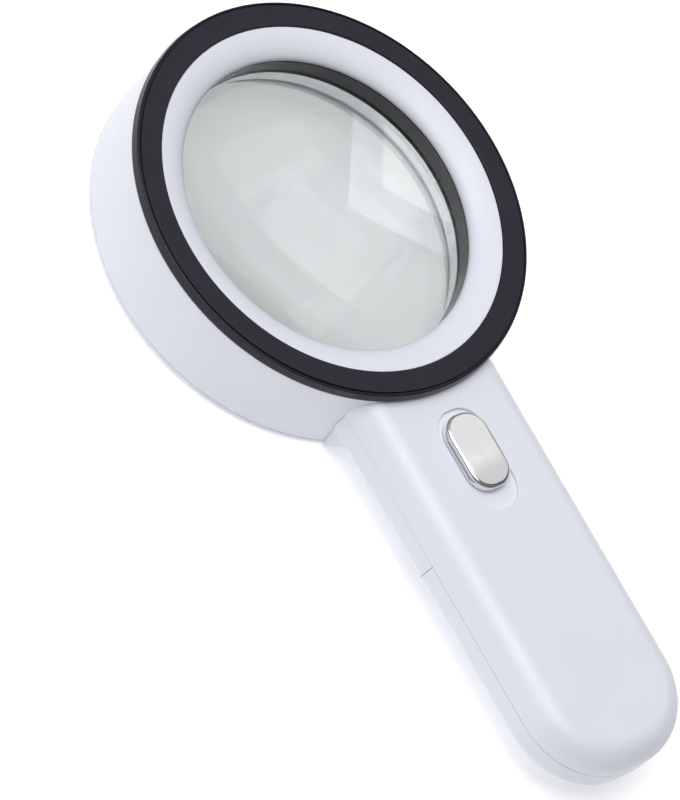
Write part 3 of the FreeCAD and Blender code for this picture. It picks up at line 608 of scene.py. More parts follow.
def make_front_shell():
    """Head wall with the lens tube, and the front half of the handle with its posts and rails."""
    wall_top, wall_low = TRIM_FOOT_Z - 0.05, RIM_Z + 0.05
    bore_r, tube_r = LENS_TUBE_R
    flange_low, flange_top = FLANGE_Z
    seat_low = 3.84
    shell = lathe("front_shell", rounded([
        (HEAD_R, wall_low, 0.25), (HEAD_R, wall_top, 0.25),
        (WALL_INNER_R, wall_top, 0.2), (WALL_INNER_R, flange_top, 0.5),
        (tube_r, flange_top, 0.5), (tube_r, LENS_TUBE_TOP_Z, 0.15),
        (bore_r, LENS_TUBE_TOP_Z, 0.15), (bore_r, 5.56, 0.05),
        (SEAT_INNER_R, 5.4, 0.05), (SEAT_INNER_R, seat_low, 0.15),
        (tube_r, seat_low, 0.2), (tube_r, flange_low, 0.5),
        (WALL_INNER_R, flange_low, 0.5), (WALL_INNER_R, wall_low, 0.2),
    ]))
    half = keep_inside(handle_solid(0), block(-FAR, FAR, -FAR, FAR, PARTING_Z, FAR))
    cut(half, handle_solid(WALL))
    floor_y = (RECESS_Y[0] - WALL, RECESS_Y[1] + WALL)
    unite(half, prism(pad_outline(RECESS_W + 2 * WALL, *floor_y, 7.6), RECESS_Z - 1.6, HANDLE_FRONT_Z - 1.2))
    for x, y in SHELL_SCREWS:
        unite(half, column(3.0, BOSS_SPLIT_Z, HANDLE_FRONT_Z - 1, x, y))
    for x, y in BOARD_POSTS:
        unite(half, column(2.2, SWITCH_BOARD_TOP_Z, HANDLE_FRONT_Z - 1, x, y))
    unite(half, column(3.0, TRAY_LUG_Z, HANDLE_FRONT_Z - 1, *TRAY_LUG))
    for side in (-1, 1):
        wall = sorted(side * x for x in RAIL_X)
        lip = sorted((side * RAIL_X[0], side * RAIL_LIP_X))
        rail = unite(block(*wall, *RAIL_Y, RAIL_LIP_Z[0], HANDLE_FRONT_Z), block(*lip, *RAIL_Y, *RAIL_LIP_Z))
        unite(half, keep_inside(rail, handle_solid(0.6)))
    cut(half, column(HEAD_R - 0.9, -5, FAR, segments=SEGMENTS))
    for angle in POSTS:
        unite(shell, column(2.0, LED_BOARD_TOP_Z, 19.0, *on_circle(POST_PITCH_R, angle)))
    trim_pockets = [curved_block(51.0, 52.4, 20.4, 21.8, a, POCKET_HALF_W) for a in TRIM_SNAPS]
    rim_pockets = [curved_block(51.0, 52.4, 3.3, 4.7, a, POCKET_HALF_W) for a in RIM_SNAPS]
    cut(shell, joined("trim_pockets", trim_pockets), joined("rim_pockets", rim_pockets))
    unite(shell, half)
    half_gate, gate_low, gate_high = WIRE_GATE
    cut(shell, block(-half_gate, half_gate, -HEAD_R - 2, -WALL_INNER_R + 6, gate_low, gate_high))
    pilots = [column(SHELL_PILOT_R, BOSS_SPLIT_Z - 1, 20.5, x, y) for x, y in SHELL_SCREWS]
    pilots += [column(SMALL_PILOT_R, SWITCH_BOARD_TOP_Z - 1, 19.5, x, y) for x, y in BOARD_POSTS]
    pilots += [column(SMALL_PILOT_R, LED_BOARD_TOP_Z - 1, 17.6, *on_circle(POST_PITCH_R, a))
               for a in POSTS]
    pilots.append(column(SMALL_PILOT_R, TRAY_LUG_Z - 1, 22.3, *TRAY_LUG))
    cut(shell, joined("pilots", pilots))
    cut(shell, prism(pad_outline(RECESS_W, *RECESS_Y, PILL_CORNER * RECESS_W, 20), RECESS_Z, FAR))
    cut(shell, block(-SLOT_HALF_W, SLOT_HALF_W, *SLOT_Y, RECESS_Z - 3, RECESS_Z + 0.3))
    soften(shell, lambda p: on_rim(p, PARTING_Z), 0.22)
    soften(shell, lambda p: abs(p.z - HANDLE_FRONT_Z) < 0.01 and abs(p.x) < RECESS_W / 2 + 0.1
           and RECESS_Y[0] - 0.1 < p.y < RECESS_Y[1] + 0.1, 0.3, 4)
    finish_piece(shell, "front_shell_moulding", "housing", WHITE_ABS, "white_abs", "front_shell")


LABEL = (17.0, -83.5, -62.5, 1.5, 0.3)      # width, low y, high y, corner, depth
NECK_HALF_W = (20.9, 22.3)
NECK_TOP_Z = 10.5
TONGUE_X = (-5.55, 5.55)
TONGUE_HALF_W = 1.4
TONGUE_Z = (9.6, 10.8)
SCREW_SEAT_Z = 11.0


def make_back_shell():
    """LED-side rim with its snap arms, the neck, and the back half of the handle up to the door."""
    clear_r = HEAD_R + 0.12
    rim = lathe("back_shell", rounded([
        (49.9, 0, 0.2), (HEAD_R, 0, 1.5), (HEAD_R, RIM_Z, 0.2),
        (51.1, RIM_Z, 0), (51.1, 0.55, 0), (49.9, 0.55, 0.15),
    ], 8))
    neck = lathe("neck", rounded([
        (53.0, 0.7, 0), (54.9, 1.0, 0.6), (58.4, HANDLE_BACK_Z, 1.5),
        (61.5, NECK_TOP_Z, 0), (53.0, NECK_TOP_Z, 0),
    ], 6))
    low_w, high_w = NECK_HALF_W
    flank = [(-low_w, 0), (low_w, 0), (high_w, NECK_TOP_Z), (-high_w, NECK_TOP_Z)]
    verts = [(x, y, z) for y in (0, -FAR) for x, z in flank]
    keep_inside(neck, new_piece("flank", verts, [(0, 1, 2, 3), (7, 6, 5, 4)] + side_faces(4)))
    half = keep_inside(handle_solid(0), block(-FAR, FAR, SHELL_END_Y, FAR, 0, PARTING_Z))
    cavity = cut(handle_solid(WALL), column(HEAD_R + 2.0, -1, FAR, segments=SEGMENTS))
    cut(half, cavity)
    bulkhead = keep_inside(block(-FAR, FAR, SHELL_END_Y, SHELL_END_Y + 1.5, 0, 12.2), handle_solid(0.6))
    unite(half, bulkhead)
    for x, y in SHELL_SCREWS:
        unite(half, column(3.8, HANDLE_BACK_Z + 0.6, BOSS_SPLIT_Z - 0.1, x, y))
    shell = unite(half, neck)
    cut(shell, column(clear_r, RIM_Z - 0.01, FAR, segments=SEGMENTS))
    unite(shell, rim)
    for a in RIM_SNAPS:
        arm = curved_block(50.65, 51.5, 1.5, 4.4, a, ARM_HALF_W)
        unite(shell, unite(arm, curved_block(51.3, 52.1, 3.4, 4.5, a, HOOK_HALF_W)))
    half_gate, gate_low, gate_high = WIRE_GATE
    cut(shell, block(-half_gate, half_gate, -HEAD_R - 6, -HEAD_R + 5, gate_low + 1.0, gate_high))
    width, y0, y1, corner, depth = LABEL
    cut(shell, prism(pad_outline(width, y0, y1, corner, 6), 0, HANDLE_BACK_Z + depth))
    for x in TONGUE_X:
        cut(shell, block(x - TONGUE_HALF_W - 0.4, x + TONGUE_HALF_W + 0.4, SHELL_END_Y - 1, SHELL_END_Y + 3,
                         TONGUE_Z[0] - 0.35, TONGUE_Z[1] + 0.4))
    for x, y in SHELL_SCREWS:
        well = [(0, -1), (2.9, -1), (2.9, SCREW_SEAT_Z),
                (1.5, SCREW_SEAT_Z), (1.5, BOSS_SPLIT_Z + 1), (0, BOSS_SPLIT_Z + 1)]
        cut(shell, lathe("well", well, SMALL_SEGMENTS, x, y))
    soften(shell, lambda p: on_rim(p, PARTING_Z), 0.22)
    soften(shell, lambda p: abs(p.y - SHELL_END_Y) < 0.01 and outer_skin(p), 0.18)
    finish_piece(shell, "back_shell_moulding", "housing", WHITE_ABS, "white_abs", "back_shell")


def outer_skin(p):
    """Is a point on the outside of the handle's back half?"""
    if edge_inset(p) < SKIN:
        return p.z < PARTING_Z - 0.3
    r = BACK_EDGE_R
    if p.z < HANDLE_BACK_Z + SKIN:
        return True
    return edge_inset(p) < r and abs(math.hypot(r - edge_inset(p), HANDLE_BACK_Z + r - p.z) - r) < 0.03


GRIP_Y = DOOR_FRONT_Y - 12.0
GRIP_RIBS = 5
GRIP_PITCH = 2.2
RIB_HALF_W = 0.45
DISH_R = 36.0


def make_battery_door():
    """Back half of the handle at the tail, with slide ledges, two tongues and a ribbed thumb dish."""
    top = PARTING_Z - DOOR_JOINT
    door = keep_inside(handle_solid(0), block(-FAR, FAR, -FAR, DOOR_FRONT_Y, 0, top))
    cut(door, handle_solid(WALL))
    for side in (-1, 1):
        x = sorted((side * (RAIL_X[1] + 0.4), side * (HANDLE_HALF - 1)))
        unite(door, block(*x, RAIL_Y[0] + 1, RAIL_Y[1] - 1, RAIL_LIP_Z[1] + 0.3, RAIL_LIP_Z[1] + 1.5))
    for x in TONGUE_X:
        x0, x1 = x - TONGUE_HALF_W, x + TONGUE_HALF_W
        tongue = block(x0, x1, DOOR_FRONT_Y - 4, DOOR_FRONT_Y + 3.6, *TONGUE_Z)
        root = block(x0, x1, DOOR_FRONT_Y - 3.9, DOOR_FRONT_Y - 0.4, HANDLE_BACK_Z + 1, TONGUE_Z[1] - 0.05)
        unite(door, tongue, root)
    steps = 96
    dish = [(GRIP_Y + DISH_R * math.cos(2 * math.pi * i / steps),
             HANDLE_BACK_Z + 0.9 - DISH_R + DISH_R * math.sin(2 * math.pi * i / steps)) for i in range(steps)]
    cut(door, bar(dish, 10))
    rib_low, rib_high = HANDLE_BACK_Z + 0.1, HANDLE_BACK_Z + 1.2
    rib = rounded([(-RIB_HALF_W, rib_high, 0), (-RIB_HALF_W, rib_low, 0.4),
                   (RIB_HALF_W, rib_low, 0.4), (RIB_HALF_W, rib_high, 0)])
    for i in range(GRIP_RIBS):
        y = GRIP_Y + GRIP_PITCH * (i - (GRIP_RIBS - 1) / 2)
        unite(door, bar([(y + dy, z) for dy, z in rib], 8.5))
    soften(door, lambda p: on_rim(p, top), 0.22)
    soften(door, lambda p: abs(p.y - DOOR_FRONT_Y) < 0.01 and outer_skin(p), 0.18)
    finish_piece(door, "battery_door_moulding", "battery_door", WHITE_ABS, "white_abs", "battery_door")


make_front_shell()
make_back_shell()
make_battery_door()


# ---- head ---------------------------------------------------------------------------------------
def make_trim_ring():
    """Glossy black face with a fine groove round its edge, and the snap arms under it."""
    groove_z = FACE_Z - 0.5
    band = lathe("trim_ring", rounded([
        (TRIM_INNER_R, TRIM_FOOT_Z, 0), (TRIM_INNER_R, FACE_Z, 0.18), (53.0, FACE_Z, 0.1),
        (53.1, groove_z, 0.05), (53.4, groove_z, 0.05), (53.5, FACE_Z - 0.1, 0.08),
        (54.0, FACE_Z - 0.15, 0.3), (TRIM_FOOT_R, TRIM_FOOT_Z + 0.45, 0.25),
        (TRIM_FOOT_R - 0.1, TRIM_FOOT_Z, 0.12),
    ]))
    arms = []
    for a in TRIM_SNAPS:
        arms.append(curved_block(50.2, 51.5, 20.7, TRIM_FOOT_Z + 0.5, a, ARM_HALF_W))
        arms.append(curved_block(51.4, 52.1, 20.7, 21.7, a, HOOK_HALF_W))
    band = joined("trim_ring", [band] + arms)
    finish_piece(band, "trim_ring_moulding", "housing", BLACK_ABS, "black_abs", "trim_ring")


def make_funnel():
    """White collar that curves down from the trim ring to the lens opening."""
    outer = Vector((TRIM_INNER_R - 0.1, FACE_Z - 0.5))
    inner = Vector((39.86, FACE_Z - 4.28))
    run = inner - outer
    curve = []
    for i in range(46):
        a = math.radians(2 * i)
        drop = 0.2 * math.sin(a) + 0.8 * (1 - math.cos(a))
        curve.append((outer.x + run.x * math.sin(a), outer.y + run.y * drop))
    lip = inner.y - 0.32
    edge = [(outer.x, outer.y - 0.35)] + arc(outer.x - 0.2, outer.y - 0.22, 0.2, 0, 60, 4)
    tip = arc(inner.x + 0.16, lip + 0.16, 0.16, 175, 270, 5)
    outline = edge + curve[2:] + tip
    outline += [(43.6, lip), (45.6, 23.2), (45.6, 20.02), (47.0, 20.02),
                (47.0, 22.9), (49.9, 22.9), (49.9, 24.25), (outer.x, 24.25)]
    funnel = lathe("funnel", outline)
    finish_piece(funnel, "funnel_bezel_moulding", "housing", WHITE_ABS, "white_abs", "funnel_bezel")


# radius of the glass's faces, height of a face at the seat, and underside of the lower glass there
LENS_CURVE_R = (LENS_R ** 2 + LENS_SAG ** 2) / (2 * LENS_SAG)
LENS_BED = math.sqrt(LENS_CURVE_R ** 2 - APERTURE_R ** 2) - math.sqrt(LENS_CURVE_R ** 2 - LENS_R ** 2)
SEAT_Z = LOWER_LENS_Z - LENS_BED
SEAT_SLOPE = 0.24           # rise of the seats that bear on a lens, from inside to outside


def make_retainer():
    """Dark ring over the upper lens, with a rebate under the funnel's lip and three slots for a key."""
    foot_z, rebate_z = UPPER_LENS_Z + LENS_EDGE + LENS_BED, 21.7
    body = lathe("retainer", rounded([
        (40.1, foot_z, 0.1), (40.1, rebate_z, 0.15), (40.9, rebate_z, 0.1),
        (40.9, LENS_TUBE_TOP_Z, 0.1), (42.0, LENS_TUBE_TOP_Z, 0.2), (42.0, foot_z, 0.1),
    ]))
    slots = [curved_block(41.0, 43, 21.1, 23, 90 + 120 * k, 1.5) for k in range(3)]
    cut(body, joined("slots", slots))
    finish_piece(body, "lens_retainer_ring", "housing", black_inner(), "black_inner", "lens_retainer")


def make_spacer():
    """Polished ring between the two glasses."""
    z0, z1 = LOWER_LENS_Z + LENS_EDGE + LENS_BED, UPPER_LENS_Z - LENS_BED
    ring = lathe("spacer", rounded([
        (40.1, z0, 0.03), (40.1, z1, 0.03), (41.9, z1 + SEAT_SLOPE, 0.05), (41.9, z0 - SEAT_SLOPE, 0.05),
    ]))
    bright = plated("bright_spacer", (0.90, 0.91, 0.91), 0.08, 0.16)
    finish_piece(ring, "lens_spacer_ring", "housing", bright, "bright_spacer", "lens_spacer")


def frost(piece, chosen):
    """Grinds the faces of a clear piece whose centre (radius, height) is chosen."""
    piece.data.materials.append(GROUND_GLASS)
    for face in piece.data.polygons:
        if chosen(math.hypot(face.center.x, face.center.y) / MM, face.center.z / MM):
            face.material_index = 1


def make_lens(name, node, z):
    """Biconvex lens with a ground edge and a fine chamfer on both sides."""
    steps, chamfer = 56, 0.15
    rim = LENS_R - chamfer

    def sag(r):
        return math.sqrt(LENS_CURVE_R ** 2 - r ** 2) - math.sqrt(LENS_CURVE_R ** 2 - LENS_R ** 2)

    radii = [rim * i / steps for i in range(steps + 1)]
    under = [(r, z - sag(r)) for r in radii]
    over = [(r, z + LENS_EDGE + sag(r)) for r in reversed(radii)]
    edge = [(LENS_R, z + chamfer), (LENS_R, z + LENS_EDGE - chamfer)]
    lens = lathe(name, under + edge + over)
    finish_piece(lens, name, "housing", OPTICAL_GLASS, "optical_glass", node, weighted=False)
    frost(lens, lambda r, height: r > rim + 0.02)


LEDS = [math.radians(LED_FIRST + 360 * k / LED_COUNT) for k in range(LED_COUNT)]
COVER_LOW_Z, COVER_TOP_Z = 0.6, 1.7
DIMPLE_R, DIMPLE_DEPTH = 2.6, 0.65


def make_cover():
    """Clear ring over the LEDs with an upstand on each side and a dimple between each pair of LEDs."""
    seat = SEAT_Z - 1.5
    plate = lathe("cover", rounded([
        (40.1, COVER_LOW_Z, 0.15), (51.0, COVER_LOW_Z, 0.15), (51.0, 2.9, 0.1), (50.5, 2.9, 0.1),
        (50.5, COVER_TOP_Z, 0.1), (41.3, COVER_TOP_Z, 0.1), (41.3, seat, 0.1), (40.1, seat, 0.1),
    ], 3))
    balls = []
    steps = 16
    centre = COVER_LOW_Z + DIMPLE_DEPTH - DIMPLE_R
    outline = arc(0, centre, DIMPLE_R, -90, 90, steps)
    outline = [(max(r, 0.0) if 0 < i < steps else 0.0, z) for i, (r, z) in enumerate(outline)]
    for k in range(LED_COUNT):
        x, y = on_circle(LED_PITCH_R, 2 * math.pi * k / LED_COUNT)
        balls.append(lathe("ball", outline, SMALL_SEGMENTS, x, y))
    reliefs = [curved_block(50.45, 52, 1.4, 3.5, a, POCKET_HALF_W) for a in RIM_SNAPS]
    cut(plate, joined("balls", balls), joined("reliefs", reliefs))
    finish_piece(plate, "led_cover_window", "housing", CLEAR_WINDOW, "clear_window", "led_cover")
    frost(plate, lambda r, height: r < 40.3 or (r < 41.4 and height > seat - 0.2))


def make_reflector():
    """White ring under the LED board with a flared cup for each LED."""
    low_z, top_z, step_z = COVER_TOP_Z + 0.05, 6.4, SEAT_Z - 1.6
    body = lathe("reflector", [(41.5, low_z), (50.4, low_z), (50.4, top_z),
                               (43.6, top_z), (43.6, step_z), (41.5, step_z)])
    cups, holes = [], []
    for angle in LEDS:
        x, y = on_circle(LED_PITCH_R, angle)
        bell = [(0, low_z - 1), (3.5, low_z - 1)] + arc(3.7, low_z, 0.2, 180, 150, 3)
        bell += [(2.72, step_z - 0.5), (2.7, step_z - 0.3), (2.7, top_z + 1), (0, top_z + 1)]
        cups.append(lathe("cup", bell, SMALL_SEGMENTS, x, y))
    for angle in POSTS:
        holes.append(column(2.1, 5.0, top_z + 1, *on_circle(POST_PITCH_R, angle)))
    cut(body, joined("cups", cups), joined("holes", holes))
    finish_piece(body, "led_reflector_ring", "housing", REFLECTOR_WHITE, "reflector_white",
                 "led_reflector")


def make_leds():
    """5 mm LEDs: clear domes, each with a lead frame, a reflector dish and a yellow phosphor spot."""
    domes, frames, spots = [], [], []
    dome_z, r, top_z = 4.7, 2.4, 6.4
    lead_offset = 1.27
    for angle in LEDS:
        x, y = on_circle(LED_PITCH_R, angle)
        outline = [(0.0, dome_z - r)] + arc(0, dome_z, r, -84, 0, 14)
        flange = [(r, 5.7, 0.06), (r + 0.2, 5.7, 0.1), (r + 0.2, top_z, 0.1), (r, top_z, 0)]
        outline += rounded(flange, 2)[:-1] + [(0.0, top_z)]
        domes.append(lathe("dome", outline, SMALL_SEGMENTS, x, y))
        along = angle + math.pi / 2
        for side in (-1, 1):
            px = x + side * lead_offset * math.cos(along)
            py = y + side * lead_offset * math.sin(along)
            frames.append(column(0.25, 5.1, 6.35, px, py, 12))
        dish = [(0, 4.75), (0.35, 4.75), (0.85, 4.35), (0.95, 4.35), (0.95, 5.1), (0, 5.1)]
        frames.append(lathe("dish", dish, 24, x, y))
        spots.append(lathe("spot", [(0, 4.28), (0.5, 4.32), (0.8, 4.42), (0.4, 4.73), (0, 4.73)], 24, x, y))
    dome = joined("domes", domes)
    finish_piece(dome, "led_domes", "housing", LED_EPOXY, "led_epoxy", "leds", weighted=False)
    finish_piece(joined("frames", frames), "led_frames", "housing", TINNED, "tinned_wire", "leds")
    finish_piece(joined("spots", spots), "led_phosphor", "housing", phosphor(), "led_epoxy", "leds")


# ---- button -------------------------------------------------------------------------------------
BUTTON_FOOT_Z = RECESS_Z + 0.25
BUTTON_EDGE_R = 0.9
CROWN = 0.35               # drop of the button's top from its middle to each end
CARRIER_TOP_Z = RECESS_Z - 1.9


def make_button():
    """Polished pill, crowned a little along its length, on a stem with two pegs."""
    half_l = (BUTTON_HIGH.y - BUTTON_LOW.y) / 2
    top = BUTTON_HIGH.z

    def crown(y):
        return CROWN * ((y - BUTTON_Y) / half_l) ** 2

    rings = [(0.12, BUTTON_FOOT_Z), (0.0, BUTTON_FOOT_Z + 0.12)]
    rings += [(BUTTON_EDGE_R * (1 - math.cos(a)), top - BUTTON_EDGE_R + BUTTON_EDGE_R * math.sin(a))
              for a in (math.radians(9 * i) for i in range(11))]
    rings += [(inset, top) for inset in (1.3, 1.8, 2.5, 3.3, 4.1, 4.8)]
    verts, rows = [], []
    for inset, z in rings:
        outline = pad_outline(BUTTON_W - 2 * inset, BUTTON_LOW.y + inset, BUTTON_HIGH.y - inset,
                              PILL_CORNER * BUTTON_W - inset, 16)
        rows.append(list(range(len(verts), len(verts) + len(outline))))
        verts += [(x, y, z) for x, y in outline]
    faces = [tuple(rows[0])]
    for row, above in zip(rows, rows[1:]):
        count = len(row)
        faces += [(row[k], row[(k + 1) % count], above[(k + 1) % count], above[k]) for k in range(count)]
    middle = len(verts)
    verts.append((0, BUTTON_Y, top))
    last = rows[-1]
    faces += [(last[k], last[(k + 1) % len(last)], middle) for k in range(len(last))]
    pill = new_piece("pill", verts, faces)
    edit = bmesh.new()
    edit.from_mesh(pill.data)
    slices = 20
    for i in range(1, slices):
        y = BUTTON_LOW.y + 2 * half_l * i / slices
        everything = edit.verts[:] + edit.edges[:] + edit.faces[:]
        bmesh.ops.bisect_plane(edit, geom=everything, dist=1e-6,
                               plane_co=(0, y * MM, 0), plane_no=(0, 1, 0))
    for vert in edit.verts:
        share = min(max((vert.co.z / MM - BUTTON_FOOT_Z) / (top - BUTTON_FOOT_Z), 0), 1)
        vert.co.z -= share * crown(vert.co.y / MM) * MM
    edit.to_mesh(pill.data)
    edit.free()
    stem = block(-2.2, 2.2, BUTTON_Y - 4.0, BUTTON_Y + 4.0, CARRIER_TOP_Z, BUTTON_FOOT_Z + 0.5)
    unite(pill, stem)
    for d in (-2.3, 2.3):
        unite(pill, column(1.5, CARRIER_TOP_Z - 1.7, CARRIER_TOP_Z + 0.5, 0, BUTTON_Y + d))
    finish_piece(pill, "slide_button_cap", "switch_slider", CHROME, "chrome_button", "slide_button")


# ---- screws and cells ---------------------------------------------------------------------------
# shank radius, head radius and head height
SHELL_SCREW = (1.1, 2.5, 1.8)
BOARD_SCREW = (0.9, 1.7, 1.1)
TRAY_SCREW = (0.9, 1.9, 1.2)


def screw(x, y, seat_z, tip_z, shank_r, head_r, head_h):
    """Pan-head screw driven along +Z, with a cross recess and a cut thread."""
    crown = seat_z - head_h
    head = [(0.0, crown)] + arc(head_r - 0.45 * head_h, crown + 0.45 * head_h, 0.45 * head_h, -90, 0, 6)
    head += [(head_r, seat_z), (shank_r, seat_z)]
    z, pitch = seat_z + 0.4, 0.9 * shank_r
    while z < tip_z - shank_r - pitch:
        head += [(0.74 * shank_r, z), (shank_r, z + 0.45 * pitch), (shank_r, z + 0.55 * pitch)]
        z += pitch
    head += [(0.74 * shank_r, z), (0.6 * shank_r, tip_z - shank_r), (0.0, tip_z)]
    body = lathe("screw", head, 40, x, y)
    wide, thin = 0.62 * head_r, 0.15 * head_r
    corners = ((-1, -1), (1, -1), (1, 1), (-1, 1))
    for a, b in ((wide, thin), (thin, wide)):
        verts = [(x + sx * a, y + sy * b, crown - 0.5) for sx, sy in corners]
        verts += [(x + sx * a * 0.7, y + sy * b * 0.7, crown + 0.55 * head_h) for sx, sy in corners]
        cut(body, new_piece("cross", verts, [(0, 3, 2, 1), (4, 5, 6, 7)] + side_faces(4)))
    return body


def mount_screws(screws, name, node):
    finish_piece(joined("screws", screws), name, "housing", ZINC, "zinc_screw", node)


def make_screws():
    mount_screws([screw(x, y, SCREW_SEAT_Z, 20.0, *SHELL_SCREW) for x, y in SHELL_SCREWS],
                 "shell_screw_pair", "shell_screws")
    mount_screws([screw(*on_circle(POST_PITCH_R, a), 6.5, 15.0, *BOARD_SCREW) for a in POSTS],
                 "led_board_screw_set", "led_board_screws")
    mount_screws([screw(x, y, 10.6, 18.6, *BOARD_SCREW) for x, y in BOARD_POSTS],
                 "switch_board_screw_pair", "switch_board_screws")
    mount_screws([screw(*TRAY_LUG, 16.4, 22.0, *TRAY_SCREW)], "tray_fixing_screw", "tray_screw")


CELL_R = 5.25
CELL_Z = 15.1
BAND_START = 33            # the jacket changes colour this far from the cell's flat end


def along_y(piece, x, y, towards_tail):
    """Turns a piece made about +Z so that its top points along the handle."""
    turn = Matrix.Rotation(math.radians(90 if towards_tail else -90), 4, "X")
    piece.data.transform(Matrix.Translation(Vector((x, y, CELL_Z)) * MM) @ turn)


def make_cell(node, jacket, band):
    """AAA cell: a shrunk two-tone jacket over a plated can with a raised pip."""
    lowest, highest = low(node), high(node)
    x = (lowest.x + highest.x) / 2
    towards_tail = node != "battery_middle"
    foot = highest.y if towards_tail else lowest.y
    can = lathe("can", rounded([
        (0, 0, 0), (5.0, 0, 0.5), (5.0, 43.2, 0.5), (3.4, 43.2, 0.2),
        (3.1, 42.8, 0.2), (1.9, 42.8, 0.1), (1.9, 44.5, 0.35), (0, 44.5, 0),
    ]), CELL_SEGMENTS)
    film = lathe("film", rounded([
        (4.1, 0.1, 0.05), (CELL_R, 0.1, 0.5), (CELL_R, 43.3, 0.5), (4.3, 43.3, 0.08),
        (4.3, 43.1, 0.05), (5.05, 43.1, 0.2), (5.05, 0.3, 0.2), (4.1, 0.3, 0),
    ]), CELL_SEGMENTS)
    for piece in (can, film):
        along_y(piece, x, foot, towards_tail)
    label = node.replace("battery", "cell")
    finish_piece(can, label + "_can", "housing", NICKEL, "nickel_contact", node)
    finish_piece(film, label + "_jacket", "housing", jacket, "cell_jacket", node)
    film.data.materials.append(band)
    for face in film.data.polygons:
        if abs(face.center.y / MM - foot) > BAND_START:
            face.material_index = 1


def paint(nodes, material):
    """Gives CAD nodes that keep their own meshes a material."""
    for name in nodes:
        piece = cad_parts[name]
        piece.data.materials.clear()
        piece.data.materials.append(material)


make_trim_ring()
make_funnel()
make_retainer()
make_spacer()
make_lens("upper_lens_glass", "upper_lens", UPPER_LENS_Z)
make_lens("lower_lens_glass", "lower_lens", LOWER_LENS_Z)
make_cover()
make_reflector()
make_leds()
make_button()
make_screws()

JACKET = sleeve("cell_jacket", (0.18, 0.215, 0.27), (0.21, 0.25, 0.31))
BAND = sleeve("cell_band", (0.58, 0.59, 0.61), (0.64, 0.65, 0.67))
for cell in ("battery_left", "battery_middle", "battery_right"):
    make_cell(cell, JACKET, BAND)

paint(["slide_carrier", "switch_lever"], black_matt("carrier_black", 0.035))
paint(["battery_tray"], tray_white())
paint(["led_board", "switch_board"], BOARD)
paint(["led_leads", "switch_pins"], TINNED)
paint(["led_resistors"], black_matt("chip_black", 0.02))
paint(["switch_case", "contact_springs", "bridge_plates", "negative_terminal", "positive_terminal"], NICKEL)
paint(["wire_red"], insulation("red_wire", (0.55, 0.02, 0.015)))
paint(["wire_black"], insulation("black_wire", (0.02, 0.02, 0.022)))
paint(["wire_switched"], insulation("white_wire", (0.75, 0.75, 0.74)))


# ---- floor, light and camera ------------------------------------------------------------------
FLOOR_HALF = 6.0
FLOOR_DROP = 0.0001        # the floor lies just under the rim, so that their faces don't coincide
LIGHT_AIM = Vector((0, -0.05, 0.015))
CAMERA_AZIMUTH, CAMERA_ELEVATION, CAMERA_ROLL = (math.radians(a) for a in (-74.396, 49.239, 48.005))
CAMERA_BACK = Vector((math.sin(CAMERA_AZIMUTH) * math.cos(CAMERA_ELEVATION),
                      -math.cos(CAMERA_AZIMUTH) * math.cos(CAMERA_ELEVATION), math.sin(CAMERA_ELEVATION)))
CAMERA_AIM = Vector((-0.00876, -0.04131, 0))
CAMERA_DISTANCE = 1.2202
FOCAL_LENGTH = 225         # for a sensor 36 mm wide
TO_PANEL = Vector((0.63, 0.20, 0.75)).normalized()
ALONG_PANEL = Vector((-TO_PANEL.y, TO_PANEL.x, 0)).normalized()
PANEL_DISTANCE = 1.3
SIDE_LEVELS = (0.16, 0.45)


def make_floor():
    half = FLOOR_HALF
    corners = [(-half, -half, 0), (half, -half, 0), (half, half, 0), (-half, half, 0)]
    mesh = bpy.data.meshes.new("floor")
    mesh.from_pydata(corners, [], [(0, 1, 2, 3)])
    floor = bpy.data.objects.new("floor", mesh)
    bpy.context.scene.collection.objects.link(floor)
    mesh.materials.append(pale_floor())
    floor.location.z = -FLOOR_DROP


def area_light(name, place, size, watts):
    """White soft box of size metres, aimed at the object."""
    lamp = bpy.data.lights.new(name, "AREA")
    lamp.shape = "RECTANGLE"
    lamp.size, lamp.size_y = size
    lamp.energy = watts
    light = bpy.data.objects.new(name, lamp)
    bpy.context.scene.collection.objects.link(light)
    light.location = place
    light.rotation_euler = (LIGHT_AIM - Vector(place)).to_track_quat("-Z", "Y").to_euler()


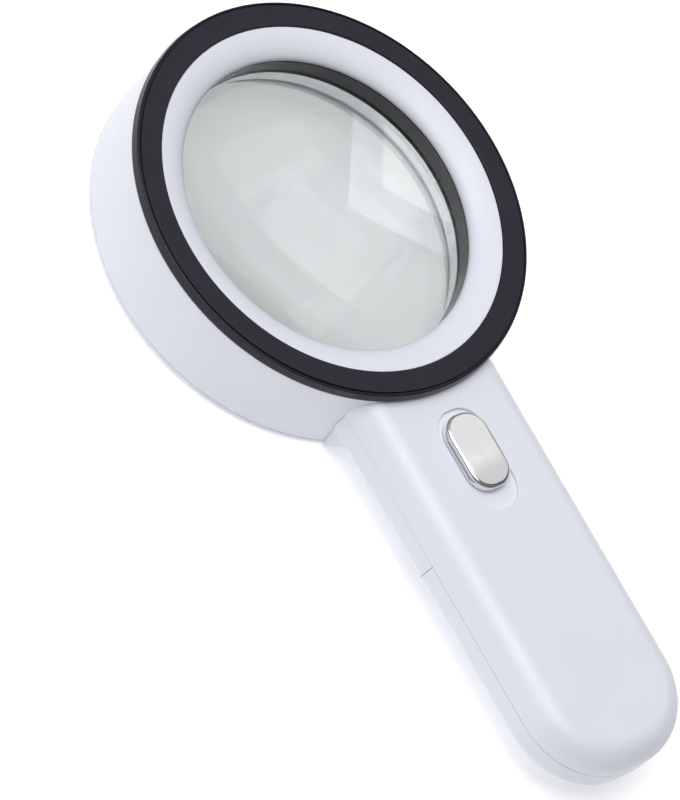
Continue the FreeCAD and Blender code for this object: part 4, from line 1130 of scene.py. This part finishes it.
def make_world():
    """Soft white studio: brighter from behind the head, with dark flags round the panel and the camera."""
    world = bpy.data.worlds.new("studio")
    world.use_nodes = True
    tree = world.node_tree
    place = tree.nodes.new("ShaderNodeTexCoord").outputs["Generated"]

    def towards(direction):
        """Cosine of the angle between the view and a direction."""
        node = tree.nodes.new("ShaderNodeVectorMath")
        node.operation = "DOT_PRODUCT"
        node.inputs[1].default_value = Vector(direction).normalized()
        tree.links.new(place, node.inputs[0])
        return node.outputs["Value"]

    def ramp(value, start, end, first, last):
        """Smooth step in level, from first to last, between two cosines."""
        node = tree.nodes.new("ShaderNodeMapRange")
        node.interpolation_type = "SMOOTHSTEP"
        for key, number in (("From Min", start), ("From Max", end), ("To Min", first), ("To Max", last)):
            node.inputs[key].default_value = number
        tree.links.new(value, node.inputs["Value"])
        return node.outputs[0]

    def product(a, b):
        node = tree.nodes.new("ShaderNodeMath")
        node.operation = "MULTIPLY"
        tree.links.new(a, node.inputs[0])
        tree.links.new(b, node.inputs[1])
        return node.outputs[0]

    level = ramp(towards((-0.35, 1, 0)), -1, 1, *SIDE_LEVELS)
    low_edge = ramp(towards((0, 0, 1)), 0.0, 0.22, 0.12, 1.0)
    camera_flag = ramp(towards(CAMERA_BACK), 0.90, 0.955, 1.0, 0.05)
    panel_flag = ramp(towards(TO_PANEL), 0.84, 0.90, 1.0, 0.08)
    for mask in (low_edge, camera_flag, panel_flag):
        level = product(level, mask)
    background = tree.nodes["Background"]
    background.inputs["Color"].default_value = (1.0, 1.0, 1.0, 1)
    tree.links.new(level, background.inputs["Strength"])
    bpy.context.scene.world = world


def make_camera():
    """Camera at the photographed angle, aimed at a point on the floor."""
    level = Vector((0, 0, 1)).cross(CAMERA_BACK).normalized()
    rise = CAMERA_BACK.cross(level)
    right = math.cos(CAMERA_ROLL) * level + math.sin(CAMERA_ROLL) * rise
    up = math.cos(CAMERA_ROLL) * rise - math.sin(CAMERA_ROLL) * level
    data = bpy.data.cameras.new("camera")
    data.lens = FOCAL_LENGTH
    data.sensor_width = 36
    data.clip_start, data.clip_end = 0.01, 50
    camera = bpy.data.objects.new("camera", data)
    bpy.context.scene.collection.objects.link(camera)
    turn = Matrix((right, up, CAMERA_BACK)).transposed().to_4x4()
    camera.matrix_world = Matrix.Translation(CAMERA_AIM + CAMERA_BACK * CAMERA_DISTANCE) @ turn
    bpy.context.scene.camera = camera


make_floor()
make_world()
area_light("top", (-0.42, 0.3, 1.85), (1.7, 1.7), 33)
# the panel is dimmer at one end, which shades the button and the trim ring
area_light("panel", TO_PANEL * PANEL_DISTANCE + ALONG_PANEL * 0.12, (0.57, 0.7), 1.14)
area_light("panel_dim_end", TO_PANEL * PANEL_DISTANCE - ALONG_PANEL * 0.285, (0.24, 0.7), 0.375)
make_camera()
bpy.context.scene.view_settings.view_transform = "Standard"
